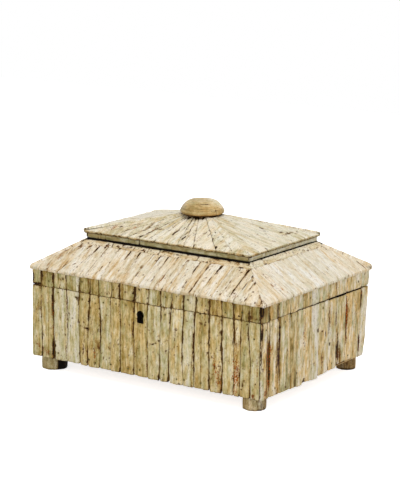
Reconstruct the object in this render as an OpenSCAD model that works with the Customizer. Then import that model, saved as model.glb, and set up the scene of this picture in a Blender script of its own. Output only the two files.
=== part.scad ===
// Casket veneered with strips of stag antler, on four antler feet, with a hipped lid.
// Millimetres. +X is to the right seen from the front, +Y goes to the back, +Z is up.
// The origin is on the ground, in the middle of the four feet.

/* [Box] */
// Width of the box over its antler strips
case_w = 290; // [260:5:340]
// Depth of the box over its antler strips
case_d = 214; // [190:2:250]
// Height of the box, from its underside to the line where the lid parts
box_h = 78; // [66:1:110]
// Thickness of the pine walls
wall_t = 9; // [8.5:0.5:12]
// Thickness of the bottom board
base_t = 8; // [7:0.5:12]
// Gap between the closed lid and the box
part_gap = 0.3; // [0.2:0.1:0.5]

/* [Antler strips] */
// Thickness of a strip
strip_t = 4; // [3:0.25:5]
// How far the face of a strip is rounded across its width
camber = 0.5; // [0.2:0.1:0.9]
// Gap between neighbouring strips
strip_gap = 0.5; // [0.3:0.1:0.9]

/* [Feet] */
// Radius of an antler foot
foot_r = 12.3; // [9:0.1:13]
// Height of a foot
foot_h = 14; // [10:0.5:22]
// Distance from the end of the box to the middle of a foot
foot_in_x = 17; // [16:0.5:40]
// Distance from the front or back of the box to the middle of a foot
foot_in_y = 14.5; // [14:0.5:40]

/* [Lower roof] */
// Height of the lid's upright rail, from the parting line to the tip of the lower eave
rail_h = 20; // [18:0.5:30]
// How far an eave of the lower roof stands out past the strips below it
eave_over = 2.8; // [1:0.2:6]
// Rise of the lower roof from its eave to the neck
roof_rise = 28; // [22:0.5:36]
// Thickness of the sloping boards
board_t = 7; // [5:0.5:9]
// Width, in plan, of the border along the top of the slopes
border_w = 5; // [3:0.5:8]
// How far the border stands proud of the slope
border_proud = 0.5; // [0.2:0.1:1]
// How far the top of the border reaches out past the neck
ledge = 1; // [0.6:0.1:2]
// Thickness of the board that closes the lower roof
top_t = 10; // [8:0.5:12]

/* [Crown] */
// Width of the neck under the crown
crown_w = 205.5; // [190:0.5:220]
// Depth of the neck under the crown
crown_d = 133; // [120:1:146]
// Height of the dark fillet under the neck
fillet_h = 2.2; // [1.5:0.1:4]
// Height of the neck, from the fillet to the tip of the upper eave
neck_h = 7.8; // [6.5:0.1:12]
// How far the upper eave stands out past the neck
crown_over = 2.9; // [1:0.1:5]
// Rise of the crown from its eave to where its faces would meet
crown_rise = 24.4; // [20:0.2:32]
// Thickness of the crown's antler strips
crown_t = 3.2; // [2.5:0.1:4]

/* [Knob] */
// Radius of the knob's rim
knob_r = 24; // [20:0.5:28]
// Height of the knob above its seat
knob_h = 16; // [13:0.5:22]
// How far the tip of the crown is cut down for the knob's seat
seat_drop = 5.1; // [4:0.1:7]
// Depth of the furrows around the rim
furrow = 1.3; // [0.6:0.1:2]

/* [Hinges] */
// Length of a hinge along the back
hinge_w = 40; // [30:1:60]
// Distance from the end of the box to the middle of a hinge
hinge_in = 70; // [45:1:90]
// Depth of a hinge leaf, from the axis to its front edge
leaf_d = 11.3; // [10:0.1:12]
// Thickness of a hinge leaf
leaf_t = 1.2; // [0.8:0.1:1.6]
// Radius of the hinge's barrel
barrel_r = 2.3; // [2:0.1:3]
// Radius of the hinge pin
pin_r = 1.1; // [0.8:0.1:1.3]
// Running clearance of the pin in its knuckles
pin_fit = 0.05; // [0.02:0.01:0.1]
// Radius that the stop tails reach from the hinge's axis
tail_r = 4.8; // [4:0.1:6]
// How far the lid opens before the stop tails meet, in degrees
lid_open = 95; // [90:1:110]

/* [Lock] */
// How far the keyhole lies to the left of the middle
key_off = 3.8; // [0:0.1:20]
// Distance from the parting line down to the top of the keyhole
key_down = 9.2; // [9:0.1:12]
// Radius of the keyhole's round head
key_r = 3.8; // [3:0.1:4]
// Height of the whole keyhole
key_h = 13.4; // [12:0.2:15]
// Width of the keyhole's waist
key_waist = 5.6; // [4.6:0.1:6]
// Width of the keyhole's foot
key_foot = 7.2; // [6:0.1:7.6]
// Width of the lock's case
lock_w = 60; // [58:1:80]
// Height of the lock's case
lock_h = 32; // [30:1:44]
// Depth to which the lock is let into the wall
lock_d = 7; // [6.8:0.1:7.5]
// Thickness of the lock's plates
plate_t = 1.2; // [1:0.1:1.4]
// Width of the rim by which the lock is screwed to the wall
cap_rim = 6; // [5:0.5:8]
// Thickness of the bolt
bolt_t = 1.6; // [1.2:0.1:2]
// Width of a link of the link plate
link_w = 3; // [2.5:0.1:4]
// Distance from the keyhole to the middle of a link
link_x = 15; // [14:0.5:17]
// Depth to which a link hangs below the lid
link_h = 8.5; // [8:0.1:9]
// Radius of the pin that the key turns on
key_pin_r = 1.2; // [0.8:0.1:1.4]

/* [Screws] */
// Radius of the small brass screws
screw_r = 1; // [0.8:0.05:1.2]
// Radius of their heads
head_r = 1.9; // [1.6:0.1:2.2]
// Length of the hinge screws
hinge_screw = 9; // [7:0.5:11]
// Length of the lock screws
lock_screw = 6; // [4:0.5:6.5]
// Radius of a foot screw
foot_screw_r = 1.8; // [1.4:0.1:2.2]
// Radius of a foot screw's head
foot_head_r = 3.6; // [3:0.1:4]
// How far a foot screw's head is sunk in the foot
foot_sink = 5; // [3:0.5:8]
// Radius of the screw that holds the knob
knob_screw_r = 2.2; // [1.8:0.1:2.6]
// Radius of the knob screw's head
knob_head_r = 4.4; // [4:0.1:5]

/* [Hidden] */
$fn = 48;

// The four sides, numbered by the quarter turn that brings the front round to them
FRONT = 0;
RIGHT = 1;
BACK = 2;
LEFT = 3;

// Clearances
let_in = 0.15;       // around metal let into wood
screw_fit = 0.05;    // around a screw
slide_fit = 0.3;     // around the bolt and the links
turn_fit = 0.4;      // around the turning barrel
over = 10;           // how far a cutting solid runs past what it cuts

// Strip widths along one front and one end, in the order left to right and front to back.
// They share out the length of the side that they cover.
front_widths = [12, 17.5, 17, 15, 14, 14.5, 13.5, 13.5, 18.5, 17, 15, 12.5, 15.5, 14.5, 18,
                15.5, 16, 8.5, 8.5, 14];
end_widths = [17, 18, 20, 15, 11.5, 17.5, 12, 21.5, 16, 20.5, 12.5, 16.5, 15.5];
crown_front_widths = [40, 33, 19, 18, 16, 15, 27, 43];
crown_end_widths = [35, 27, 24, 21, 32];
border_front_widths = [52, 74, 61, 82];
border_end_widths = [58, 46, 70];

// Heights, from the ground up
box_top = foot_h + box_h - part_gap / 2;
part_z = foot_h + box_h;
wall_low = foot_h + base_t;
lid_low = part_z + part_gap / 2;
eave_z = part_z + rail_h;
neck_z = eave_z + roof_rise;
fillet_top = neck_z + fillet_h;
crown_eave_z = fillet_top + neck_h;
apex_z = crown_eave_z + crown_rise;
seat_z = apex_z - seat_drop;

// Half sizes in plan
wood_x = case_w / 2 - strip_t;
wood_y = case_d / 2 - strip_t;
inner_x = wood_x - wall_t;
inner_y = wood_y - wall_t;
tip_x = case_w / 2 + eave_over;
tip_y = case_d / 2 + eave_over;
neck_x = crown_w / 2 + ledge;
neck_y = crown_d / 2 + ledge;
block_x = crown_w / 2 - crown_t;
block_y = crown_d / 2 - crown_t;
crown_tip_x = crown_w / 2 + crown_over;
crown_tip_y = crown_d / 2 + crown_over;
rebate = wall_t / 2;

// Slopes of the two roofs, as rise over run
roof_x = roof_rise / (tip_x - neck_x);
roof_y = roof_rise / (tip_y - neck_y);
crown_x = crown_rise / crown_tip_x;
crown_y = crown_rise / crown_tip_y;

// Hinge and lock
axis_y = case_d / 2 + part_gap;
hinge_x = case_w / 2 - hinge_in;
knuckle = hinge_w / 3;
knuckle_gap = 0.4;
pin_head = 0.6;
side_step = 0.2;
stop_slack = 1;
tail_end = 86;
tail_root = pin_r + (barrel_r - pin_r) / 3;   // where tails and leaves end in a barrel's wall
lock_x = -key_off;
key_z = part_z - key_down - key_r;
lock_y = -(inner_y + lock_d / 2);
lock_space = lock_d - 2 * plate_t;
link_t = lock_space - 0.8;
eye_t = bolt_t + 2 * slide_fit;
tip_gap = 1;
travel = link_w + 2 * tip_gap;
link_low = lid_low - link_h;
arm_h = 2.4;
arm_top = link_low - 0.4;
tongue_low = link_low + 1.9;
tongue_h = 3;
bolt_top = box_top - plate_t - slide_fit;
talon_z = key_z + 5.4;
bit_r = 8.6;
guide_end = 9;           // from a link's middle to the far end of its guide and plate
spring_up = 9;
spring_z = box_top - lock_h + spring_up;
spring_t = 0.5;
plate_half = link_x + guide_end;
plate_d = lock_space;

// Screws that go through more than one piece
foot_screw = foot_h - foot_sink + base_t - 1.5;
knob_screw_low = neck_z - top_t + 2;
knob_screw_length = seat_z + knob_h - 4 - knob_screw_low;

// Sum of the first n widths of a list
function sum_to(widths, n) = n == 0 ? 0 : widths[n - 1] + sum_to(widths, n - 1);

// Where the n-th edge falls when the widths share out a length about the middle
function edge_at(widths, n, length) =
    length * (sum_to(widths, n) / sum_to(widths, len(widths)) - 0.5);

// The widths in the opposite order
function reversed(widths) = [for (i = [len(widths) - 1:-1:0]) widths[i]];

// Radius of a face of width w that bulges by the camber
function face_r(w) = (w * w / 4 + camber * camber) / (2 * camber);

// Half length of a slope at distance u from the middle, along the hip lines
function hip_at(u, tip, neck, far_tip, far_neck) =
    far_tip - (tip - u) * (far_tip - far_neck) / (tip - neck);

// Turns a thing drawn for the front round to one of the four sides
module on_side(side) {
    rotate([0, 0, 90 * side]) children();
}

// Everything under two crossing gables: height z at half widths tx and ty, less the cover t
module under_roof(z, tx, ty, sx, sy, t) {
    far_x = tx + over;
    far_y = ty + over;
    intersection() {
        rotate([90, 0, 90])
            linear_extrude(2 * far_x, center = true)
                polygon([
                    [-far_y, 0], [far_y, 0], [far_y, z - over * sy - t / cos(atan(sy))],
                    [0, z + ty * sy - t / cos(atan(sy))], [-far_y, z - over * sy - t / cos(atan(sy))]
                ]);
        rotate([90, 0, 0])
            linear_extrude(2 * far_y, center = true)
                polygon([
                    [-far_x, 0], [far_x, 0], [far_x, z - over * sx - t / cos(atan(sx))],
                    [0, z + tx * sx - t / cos(atan(sx))], [-far_x, z - over * sx - t / cos(atan(sx))]
                ]);
    }
}

// Everything under the lower roof, less a cover of thickness t
module under_lower(t) {
    under_roof(eave_z, tip_x, tip_y, roof_x, roof_y, t);
}

// Everything under the crown, less a cover of thickness t
module under_crown(t) {
    under_roof(crown_eave_z, crown_tip_x, crown_tip_y, crown_x, crown_y, t);
}

// Upright prism over one side's share of the roof plan, between two distances from the middle
module roof_share(low_u, high_u, low_half, high_half) {
    linear_extrude(2 * apex_z)
        polygon([
            [-low_half, -low_u], [low_half, -low_u], [high_half, -high_u], [-high_half, -high_u]
        ]);
}

// Share of the lower roof that belongs to a side, with the mitre gap taken off
module lower_share(side, low_u, high_u) {
    ends = side % 2 == 1;
    tip = ends ? tip_x : tip_y;
    neck = ends ? neck_x : neck_y;
    far_tip = ends ? tip_y : tip_x;
    far_neck = ends ? neck_y : neck_x;
    on_side(side)
        roof_share(low_u, high_u,
                   hip_at(low_u, tip, neck, far_tip, far_neck) - strip_gap / 2,
                   hip_at(high_u, tip, neck, far_tip, far_neck) - strip_gap / 2);
}

// One antler strip: crowned face towards -Y, back on y = 0, standing up along Z
module strip(w, length) {
    linear_extrude(length)
        intersection() {
            translate([-w / 2, -strip_t]) square([w, strip_t]);
            translate([0, face_r(w) - strip_t]) circle(face_r(w), $fn = 720);
        }
}

// A row of strips that covers a length
module strip_row(widths, length, height) {
    for (i = [0:len(widths) - 1]) {
        left = edge_at(widths, i, length) + strip_gap / 2;
        right = edge_at(widths, i + 1, length) - strip_gap / 2;
        translate([(left + right) / 2, 0, 0]) strip(right - left, height);
    }
}

// The strips of one upright side, between two heights
module side_strips(side, z0, z1) {
    ends = side % 2 == 1;
    widths = side == LEFT ? reversed(end_widths)
           : side == BACK ? reversed(front_widths)
           : ends ? end_widths : front_widths;
    on_side(side)
        translate([0, ends ? -wood_x : -wood_y, z0])
            strip_row(widths, ends ? 2 * wood_y : case_w, z1 - z0);
}

// The strips of one sloping side of the lower roof
module slope_strips(side) {
    ends = side % 2 == 1;
    widths = side == LEFT ? reversed(end_widths)
           : side == BACK ? reversed(front_widths)
           : ends ? end_widths : front_widths;
    tip = ends ? tip_x : tip_y;
    neck = ends ? neck_x : neck_y;
    slope = ends ? roof_x : roof_y;
    run = (tip - neck) / cos(atan(slope));
    intersection() {
        on_side(side)
            translate([0, -tip, eave_z])
                rotate([atan(slope), 0, 0])
                    translate([0, -over / 2, -strip_t])
                        rotate([-90, 0, 0])
                            strip_row(widths, ends ? 2 * tip_y : 2 * tip_x, run + over);
        lower_share(side, tip, neck + border_w);
    }
}

// A wooden screw's shape: head uppermost on z = 0, point downwards
module screw_form(length, r, head) {
    translate([0, 0, r - head]) cylinder(h = head - r, r1 = r, r2 = head);
    translate([0, 0, -length]) cylinder(h = length - head + r, r = r);
}

module screw(length, r, head) {
    difference() {
        screw_form(length, r, head);
        translate([-head - 1, -head / 8, -head / 5]) cube([2 * head + 2, head / 4, head]);
    }
}

// The hole for that screw, open above the head
module screw_hole(length, r, head) {
    translate([0, 0, r - head]) cylinder(h = head - r, r1 = r + screw_fit, r2 = head + screw_fit);
    translate([0, 0, -length - screw_fit]) cylinder(h = length - head + r + screw_fit, r = r + screw_fit);
    cylinder(h = over, r = head + screw_fit);
}

// Places of the four feet
module at_feet() {
    for (x = [-1, 1], y = [-1, 1])
        translate([x * (case_w / 2 - foot_in_x), y * (case_d / 2 - foot_in_y), 0]) children();
}

module base_board() {
    color("tan")
        difference() {
            translate([-wood_x, -wood_y, foot_h]) cube([2 * wood_x, 2 * wood_y, base_t]);
            at_feet()
                translate([0, 0, foot_sink])
                    mirror([0, 0, 1]) screw_hole(foot_screw, foot_screw_r, foot_head_r);
        }
}

// A long wall with the rebates that take the ends of the side walls
module long_wall(side, z0, z1) {
    on_side(side)
        difference() {
            translate([-wood_x, -wood_y, z0]) cube([2 * wood_x, wall_t, z1 - z0]);
            for (m = [0, 1])
                mirror([m, 0, 0])
                    translate([inner_x, -wood_y + wall_t - rebate, z0 - over])
                        cube([wall_t + over, rebate + over, z1 - z0 + 2 * over]);
        }
}

// A short wall that reaches into those rebates
module short_wall(side, z0, z1) {
    half = inner_y + rebate;
    on_side(side)
        translate([-half, -wood_x, z0]) cube([2 * half, wall_t, z1 - z0]);
}

// Keyhole, cut along Y from the front face to a depth
module keyhole(depth) {
    translate([lock_x, -case_d / 2 - 1, key_z])
        rotate([-90, 0, 0])
            linear_extrude(depth + 1) {
                circle(key_r);
                polygon([
                    [-key_waist / 2, 0], [key_waist / 2, 0],
                    [key_foot / 2, key_h - key_r], [-key_foot / 2, key_h - key_r]
                ]);
            }
}

// Moves a thing to the lock: middle of the case in X and depth, height unchanged
module at_lock() {
    translate([lock_x, lock_y, 0]) children();
}

// Places of the four lock screws on the cap's rim
module at_lock_screws() {
    for (x = [-1, 1], z = [box_top - cap_rim, box_top - lock_h])
        translate([lock_x + x * (lock_w + cap_rim) / 2, -inner_y, z]) rotate([-90, 0, 0]) children();
}

module front_wall() {
    color("tan")
        difference() {
            long_wall(FRONT, wall_low, box_top);
            translate([lock_x - lock_w / 2 - let_in, -inner_y - lock_d, box_top - lock_h - let_in])
                cube([lock_w + 2 * let_in, lock_d + over, lock_h + over]);
            translate([lock_x - lock_w / 2 - cap_rim - let_in, -inner_y - plate_t,
                       box_top - lock_h - cap_rim - let_in])
                cube([lock_w + 2 * cap_rim + 2 * let_in, plate_t + over, lock_h + cap_rim + over]);
            keyhole(strip_t + wall_t);
            at_lock_screws() screw_hole(lock_screw, screw_r, head_r);
        }
}

module back_wall() {
    color("tan")
        difference() {
            long_wall(BACK, wall_low, box_top);
            at_hinges() leaf_pocket(-1);
            at_hinges() at_leaf_screws(-1) screw_hole(hinge_screw, screw_r, head_r);
        }
}

module left_wall() {
    color("tan") short_wall(LEFT, wall_low, box_top);
}

module right_wall() {
    color("tan") short_wall(RIGHT, wall_low, box_top);
}

module front_veneer() {
    color("burlywood")
        difference() {
            side_strips(FRONT, foot_h, box_top);
            keyhole(strip_t + 1);
        }
}

module back_veneer() {
    color("burlywood")
        difference() {
            side_strips(BACK, foot_h, box_top);
            at_hinges() leaf_pocket(-1);
            at_hinges() barrel_pocket();
        }
}

module left_veneer() {
    color("burlywood") side_strips(LEFT, foot_h, box_top);
}

module right_veneer() {
    color("burlywood") side_strips(RIGHT, foot_h, box_top);
}

// A slice of antler, bellied a little, bored for its screw
module foot(x, y) {
    belly = foot_r * 0.035;
    color("darkkhaki")
        translate([x * (case_w / 2 - foot_in_x), y * (case_d / 2 - foot_in_y), 0])
            difference() {
                rotate_extrude()
                    intersection() {
                        square([foot_r, foot_h]);
                        translate([foot_r - (foot_h * foot_h / 4 + belly * belly) / (2 * belly),
                                   foot_h / 2])
                            circle((foot_h * foot_h / 4 + belly * belly) / (2 * belly), $fn = 720);
                    }
                translate([0, 0, foot_sink])
                    mirror([0, 0, 1]) screw_hole(foot_screw, foot_screw_r, foot_head_r);
            }
}

module foot_front_left() {
    foot(-1, -1);
}

module foot_front_right() {
    foot(1, -1);
}

module foot_back_left() {
    foot(-1, 1);
}

module foot_back_right() {
    foot(1, 1);
}

module foot_screws() {
    color("dimgray")
        at_feet()
            translate([0, 0, foot_sink]) mirror([0, 0, 1]) screw(foot_screw, foot_screw_r, foot_head_r);
}

// Open tray of the lock, with the slots for the links and the guides of the bolt
module lock_case() {
    inner_w = lock_w - 2 * plate_t;
    color("goldenrod")
        difference() {
            union() {
                difference() {
                    translate([lock_x - lock_w / 2, -inner_y - lock_d, box_top - lock_h])
                        cube([lock_w, lock_d - plate_t, lock_h]);
                    translate([lock_x - inner_w / 2, -inner_y - lock_d + plate_t,
                               box_top - lock_h + plate_t])
                        cube([inner_w, lock_d, lock_h - 2 * plate_t]);
                    for (x = [-link_x, link_x])
                        translate([lock_x + x - link_w / 2 - 0.5, -inner_y - lock_d + plate_t,
                                   box_top - 2 * plate_t])
                            cube([link_w + 1, lock_d, 3 * plate_t]);
                }
                at_lock() lock_guides();
            }
            keyhole(strip_t + wall_t);
        }
}

// Blocks that the bolt runs on, and the block that holds the spring
module lock_guides() {
    reach = lock_space / 2 + bolt_t / 2 - 0.2;
    front = -lock_space / 2;
    translate([-link_x - guide_end, front, link_low - 0.4 - arm_h - slide_fit - 2])
        cube([4.5, reach, 2]);
    translate([link_x - link_w / 2 - 3.9, front, talon_z - slide_fit - 1.6])
        cube([3, reach, 1.6]);
    translate([-lock_w / 2 + plate_t, front, spring_z - 1.5]) cube([2.5, reach, 3]);
}

// Bow of the spring at a share s of its length
function spring_at(s) = let (x0 = -lock_w / 2 + plate_t + 2.5, x1 = -link_x + 2,
                             z0 = spring_z, z1 = arm_top - arm_h - slide_fit - spring_t / 2)
    [x0 + (x1 - x0) * s, z0 + (z1 - z0) * sin(90 * s)];

// Leaf spring that bears on the underside of the bolt
module bolt_spring() {
    steps = 8;
    color("slategray")
        at_lock()
            translate([0, bolt_t / 2, 0])
                rotate([90, 0, 0])
                    linear_extrude(bolt_t)
                        polygon(concat(
                            [for (i = [0:steps]) spring_at(i / steps) + [0, spring_t / 2]],
                            [for (i = [steps:-1:0]) spring_at(i / steps) - [0, spring_t / 2]]
                        ));
}

// Back plate that closes the lock and carries it in the wall
module lock_cap() {
    color("goldenrod")
        difference() {
            translate([lock_x - lock_w / 2 - cap_rim, -inner_y - plate_t, box_top - lock_h - cap_rim])
                cube([lock_w + 2 * cap_rim, plate_t, lock_h + cap_rim]);
            at_lock_screws() screw_hole(lock_screw, screw_r, head_r);
        }
}

module lock_pin() {
    color("slategray")
        translate([lock_x, -inner_y - plate_t, key_z])
            rotate([90, 0, 0]) cylinder(h = lock_space + plate_t / 2, r = key_pin_r);
}

module lock_screws() {
    color("goldenrod") at_lock_screws() screw(lock_screw, screw_r, head_r);
}

// Sliding bolt: two tongues that go through the links, a notch where the key takes it
module lock_bolt() {
    arm_low = arm_top - arm_h;
    post = -link_x - link_w / 2 - travel - 0.5;
    tip_left = -link_x - link_w / 2 - tip_gap;
    tip_right = link_x - link_w / 2 - tip_gap;
    bar_right = link_x - link_w / 2 - travel - 0.4;
    bar_left = -link_x + link_w / 2 + tip_gap;
    notch = 2.6;
    tongue_top = tongue_low + tongue_h;
    color("silver")
        at_lock()
            translate([0, bolt_t / 2, 0])
                rotate([90, 0, 0])
                    linear_extrude(bolt_t)
                        polygon([
                            [post - 3, arm_low], [-bit_r - 0.7, arm_low], [-bit_r - 0.7, talon_z],
                            [-notch, talon_z], [-notch, key_z + bit_r], [notch, key_z + bit_r],
                            [notch, talon_z], [bar_right, talon_z], [bar_right, tongue_low],
                            [tip_right, tongue_low], [tip_right, tongue_top], [bar_right, tongue_top],
                            [bar_right, bolt_top], [bar_left, bolt_top], [bar_left, arm_top],
                            [post, arm_top], [post, tongue_low], [tip_left, tongue_low],
                            [tip_left, tongue_top], [post - 3, tongue_top]
                        ]);
}

// Moves a thing to both hinges, at the middle of the axis
module at_hinges() {
    for (x = [-hinge_x, hinge_x])
        translate([x, axis_y, part_z]) children();
}

// Places of a leaf's screws, heads on its outer face: up is 1 for the lid, -1 for the box
module at_leaf_screws(up) {
    for (x = [-hinge_w / 3, 0, hinge_w / 3])
        translate([x, -leaf_d + 3.4, up * part_gap / 2])
            mirror([0, 0, up > 0 ? 1 : 0]) children();
}

// Room for a leaf in the wood, from the parting plane inwards
module leaf_pocket(up) {
    w = hinge_w + 2 * let_in;
    translate([-w / 2, -leaf_d - let_in, up > 0 ? part_gap / 2 - over : -part_gap / 2 - leaf_t])
        cube([w, leaf_d + over, leaf_t + over]);
}

// Room for the barrel in the antler behind the wood
module barrel_pocket() {
    w = hinge_w + 2 * pin_head + 2 * let_in;
    translate([-w / 2, 0, 0])
        rotate([0, 90, 0]) cylinder(h = w, r = barrel_r + turn_fit);
}

// A stretch of barrel along X with a stop tail between two angles
module knuckle_form(length, from, to) {
    rotate([90, 0, 90])
        linear_extrude(length, center = true) {
            circle(barrel_r);
            tail_form(tail_root, from, to);
        }
}

// Piece of a ring between an inner radius and the tail's end, seen along X
module tail_form(inner, from, to) {
    reach = tail_r / cos((to - from) / 4);
    intersection() {
        difference() {
            circle(tail_r);
            if (inner > 0) circle(inner);
        }
        polygon([
            [0, 0], reach * [cos(from), sin(from)],
            reach * [cos((from + to) / 2), sin((from + to) / 2)] * 1.1, reach * [cos(to), sin(to)]
        ]);
    }
}

// Flat part of a leaf, cut clear of the other leaf's knuckles
module leaf_plate(up) {
    z0 = up > 0 ? part_gap / 2 : -part_gap / 2 - leaf_t;
    cut = barrel_r + turn_fit;
    difference() {
        translate([-hinge_w / 2, -leaf_d, z0]) cube([hinge_w, leaf_d - tail_root, leaf_t]);
        if (up > 0)
            for (m = [0, 1])
                mirror([m, 0, 0])
                    translate([knuckle / 2 - side_step, -cut, -over])
                        cube([hinge_w, cut + over, 2 * over]);
        else
            translate([-knuckle / 2 - knuckle_gap - side_step, -cut, -over])
                cube([knuckle + 2 * knuckle_gap + 2 * side_step, cut + over, 2 * over]);
        at_leaf_screws(up) screw_hole(hinge_screw, screw_r, head_r);
    }
}

// Leaf on the box: two outer knuckles, joined behind the lid's knuckle by the stop
module box_leaf(x) {
    outer = (hinge_w - knuckle) / 2 - knuckle_gap;
    low = -tail_end;
    high = -lid_open / 2 - stop_slack;
    color("goldenrod")
        translate([x, axis_y, part_z])
            difference() {
                union() {
                    leaf_plate(-1);
                    for (m = [-1, 1])
                        translate([m * (hinge_w - outer) / 2, 0, 0]) knuckle_form(outer, low, high);
                    rotate([90, 0, 90])
                        linear_extrude(hinge_w, center = true)
                            tail_form(barrel_r + turn_fit / 2, low, high);
                }
                rotate([0, 90, 0]) cylinder(h = hinge_w + over, r = pin_r + pin_fit, center = true);
            }
}

// Leaf on the lid: the middle knuckle with its tail
module lid_leaf(x) {
    color("goldenrod")
        translate([x, axis_y, part_z])
            difference() {
                union() {
                    leaf_plate(1);
                    knuckle_form(knuckle, lid_open / 2, tail_end);
                }
                rotate([0, 90, 0]) cylinder(h = hinge_w + over, r = pin_r + pin_fit, center = true);
            }
}

module hinge_pin(x) {
    color("darkgoldenrod")
        translate([x, axis_y, part_z])
            rotate([0, 90, 0]) {
                cylinder(h = hinge_w, r = pin_r, center = true);
                for (m = [0, 1])
                    mirror([0, 0, m])
                        translate([0, 0, hinge_w / 2]) cylinder(h = pin_head, r = (pin_r + barrel_r) / 2);
            }
}

module hinge_leaf_box_left() {
    box_leaf(-hinge_x);
}

module hinge_leaf_box_right() {
    box_leaf(hinge_x);
}

module hinge_leaf_lid_left() {
    lid_leaf(-hinge_x);
}

module hinge_leaf_lid_right() {
    lid_leaf(hinge_x);
}

module hinge_pin_left() {
    hinge_pin(-hinge_x);
}

module hinge_pin_right() {
    hinge_pin(hinge_x);
}

module hinge_screws_box() {
    color("goldenrod") at_hinges() at_leaf_screws(-1) screw(hinge_screw, screw_r, head_r);
}

module hinge_screws_lid() {
    color("goldenrod") at_hinges() at_leaf_screws(1) screw(hinge_screw, screw_r, head_r);
}

// Rails of the lid, bevelled on top to carry the sloping boards
module rail_front() {
    color("tan")
        difference() {
            intersection() {
                long_wall(FRONT, lid_low, neck_z);
                under_lower(strip_t + board_t);
            }
            translate([lock_x - plate_half - let_in, lock_y - plate_d / 2 - let_in, lid_low - over])
                cube([2 * plate_half + 2 * let_in, plate_d + 2 * let_in, plate_t + over]);
            at_link_screws() screw_hole(hinge_screw, screw_r, head_r);
        }
}

module rail_back() {
    color("tan")
        difference() {
            intersection() {
                long_wall(BACK, lid_low, neck_z);
                under_lower(strip_t + board_t);
            }
            at_hinges() leaf_pocket(1);
            at_hinges() at_leaf_screws(1) screw_hole(hinge_screw, screw_r, head_r);
        }
}

module rail_left() {
    color("tan")
        intersection() {
            short_wall(LEFT, lid_low, neck_z);
            under_lower(strip_t + board_t);
        }
}

module rail_right() {
    color("tan")
        intersection() {
            short_wall(RIGHT, lid_low, neck_z);
            under_lower(strip_t + board_t);
        }
}

// Strips of the rail, cut to the underside of the roof's strips
module rail_strips(side) {
    color("wheat")
        intersection() {
            side_strips(side, lid_low, neck_z);
            under_lower(strip_t);
        }
}

module rail_veneer_front() {
    rail_strips(FRONT);
}

module rail_veneer_back() {
    difference() {
        rail_strips(BACK);
        at_hinges() leaf_pocket(1);
        at_hinges() barrel_pocket();
    }
}

module rail_veneer_left() {
    rail_strips(LEFT);
}

module rail_veneer_right() {
    rail_strips(RIGHT);
}

// Sloping board of one side, mitred at the hips, butted against the top board
module slope_board(side) {
    ends = side % 2 == 1;
    color("tan")
        intersection() {
            difference() {
                under_lower(strip_t);
                under_lower(strip_t + board_t);
            }
            lower_share(side, ends ? wood_x : wood_y, ends ? block_x : block_y);
            translate([-wood_x, -wood_y, 0]) cube([2 * wood_x, 2 * wood_y, apex_z]);
        }
}

module slope_board_front() {
    slope_board(FRONT);
}

module slope_board_back() {
    slope_board(BACK);
}

module slope_board_left() {
    slope_board(LEFT);
}

module slope_board_right() {
    slope_board(RIGHT);
}

// Places of the knob screw: head uppermost, turned to point up
module knob_screw_place() {
    translate([0, 0, knob_screw_low]) mirror([0, 0, 1]) children();
}

module top_board() {
    color("tan")
        difference() {
            translate([-block_x, -block_y, neck_z - top_t]) cube([2 * block_x, 2 * block_y, top_t]);
            knob_screw_place() screw_hole(knob_screw_length, knob_screw_r, knob_head_r);
        }
}

module roof_veneer_front() {
    color("cornsilk") slope_strips(FRONT);
}

module roof_veneer_back() {
    color("cornsilk") slope_strips(BACK);
}

module roof_veneer_left() {
    color("cornsilk") slope_strips(LEFT);
}

module roof_veneer_right() {
    color("cornsilk") slope_strips(RIGHT);
}

// Rough border laid along the top of the four slopes
module ledge_border() {
    color("sandybrown")
        intersection() {
            difference() {
                under_lower(-border_proud);
                under_lower(strip_t);
                translate([-block_x, -block_y, 0]) cube([2 * block_x, 2 * block_y, 2 * apex_z]);
            }
            cube([4 * tip_x, 4 * tip_y, 2 * neck_z], center = true);
            for (side = [0:3]) {
                ends = side % 2 == 1;
                intersection() {
                    lower_share(side, (ends ? neck_x : neck_y) + border_w, ends ? block_x : block_y);
                    on_side(side)
                        piece_blocks(ends ? border_end_widths : border_front_widths,
                                     2 * (ends ? neck_y : neck_x) + 2 * border_w);
                }
            }
        }
}

// Upright blocks in front of the middle that part a long strip into pieces
module piece_blocks(widths, length) {
    for (i = [0:len(widths) - 1]) {
        left = edge_at(widths, i, length) + strip_gap / 2;
        right = edge_at(widths, i + 1, length) - strip_gap / 2;
        translate([left, -2 * tip_x, 0]) cube([right - left, 2 * tip_x, 2 * apex_z]);
    }
}

// Thin board of blackened wood between the lower roof and the crown
module neck_fillet() {
    fillet_x = (neck_x + crown_w / 2) / 2;
    fillet_y = (neck_y + crown_d / 2) / 2;
    color("black")
        difference() {
            translate([-fillet_x, -fillet_y, neck_z]) cube([2 * fillet_x, 2 * fillet_y, fillet_h]);
            knob_screw_place() screw_hole(knob_screw_length, knob_screw_r, knob_head_r);
        }
}

// Solid board shaped to the crown's four slopes
module crown_block() {
    color("tan")
        difference() {
            intersection() {
                translate([-block_x, -block_y, fillet_top])
                    cube([2 * block_x, 2 * block_y, seat_z - fillet_top]);
                under_crown(crown_t);
            }
            knob_screw_place() screw_hole(knob_screw_length, knob_screw_r, knob_head_r);
        }
}

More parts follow.
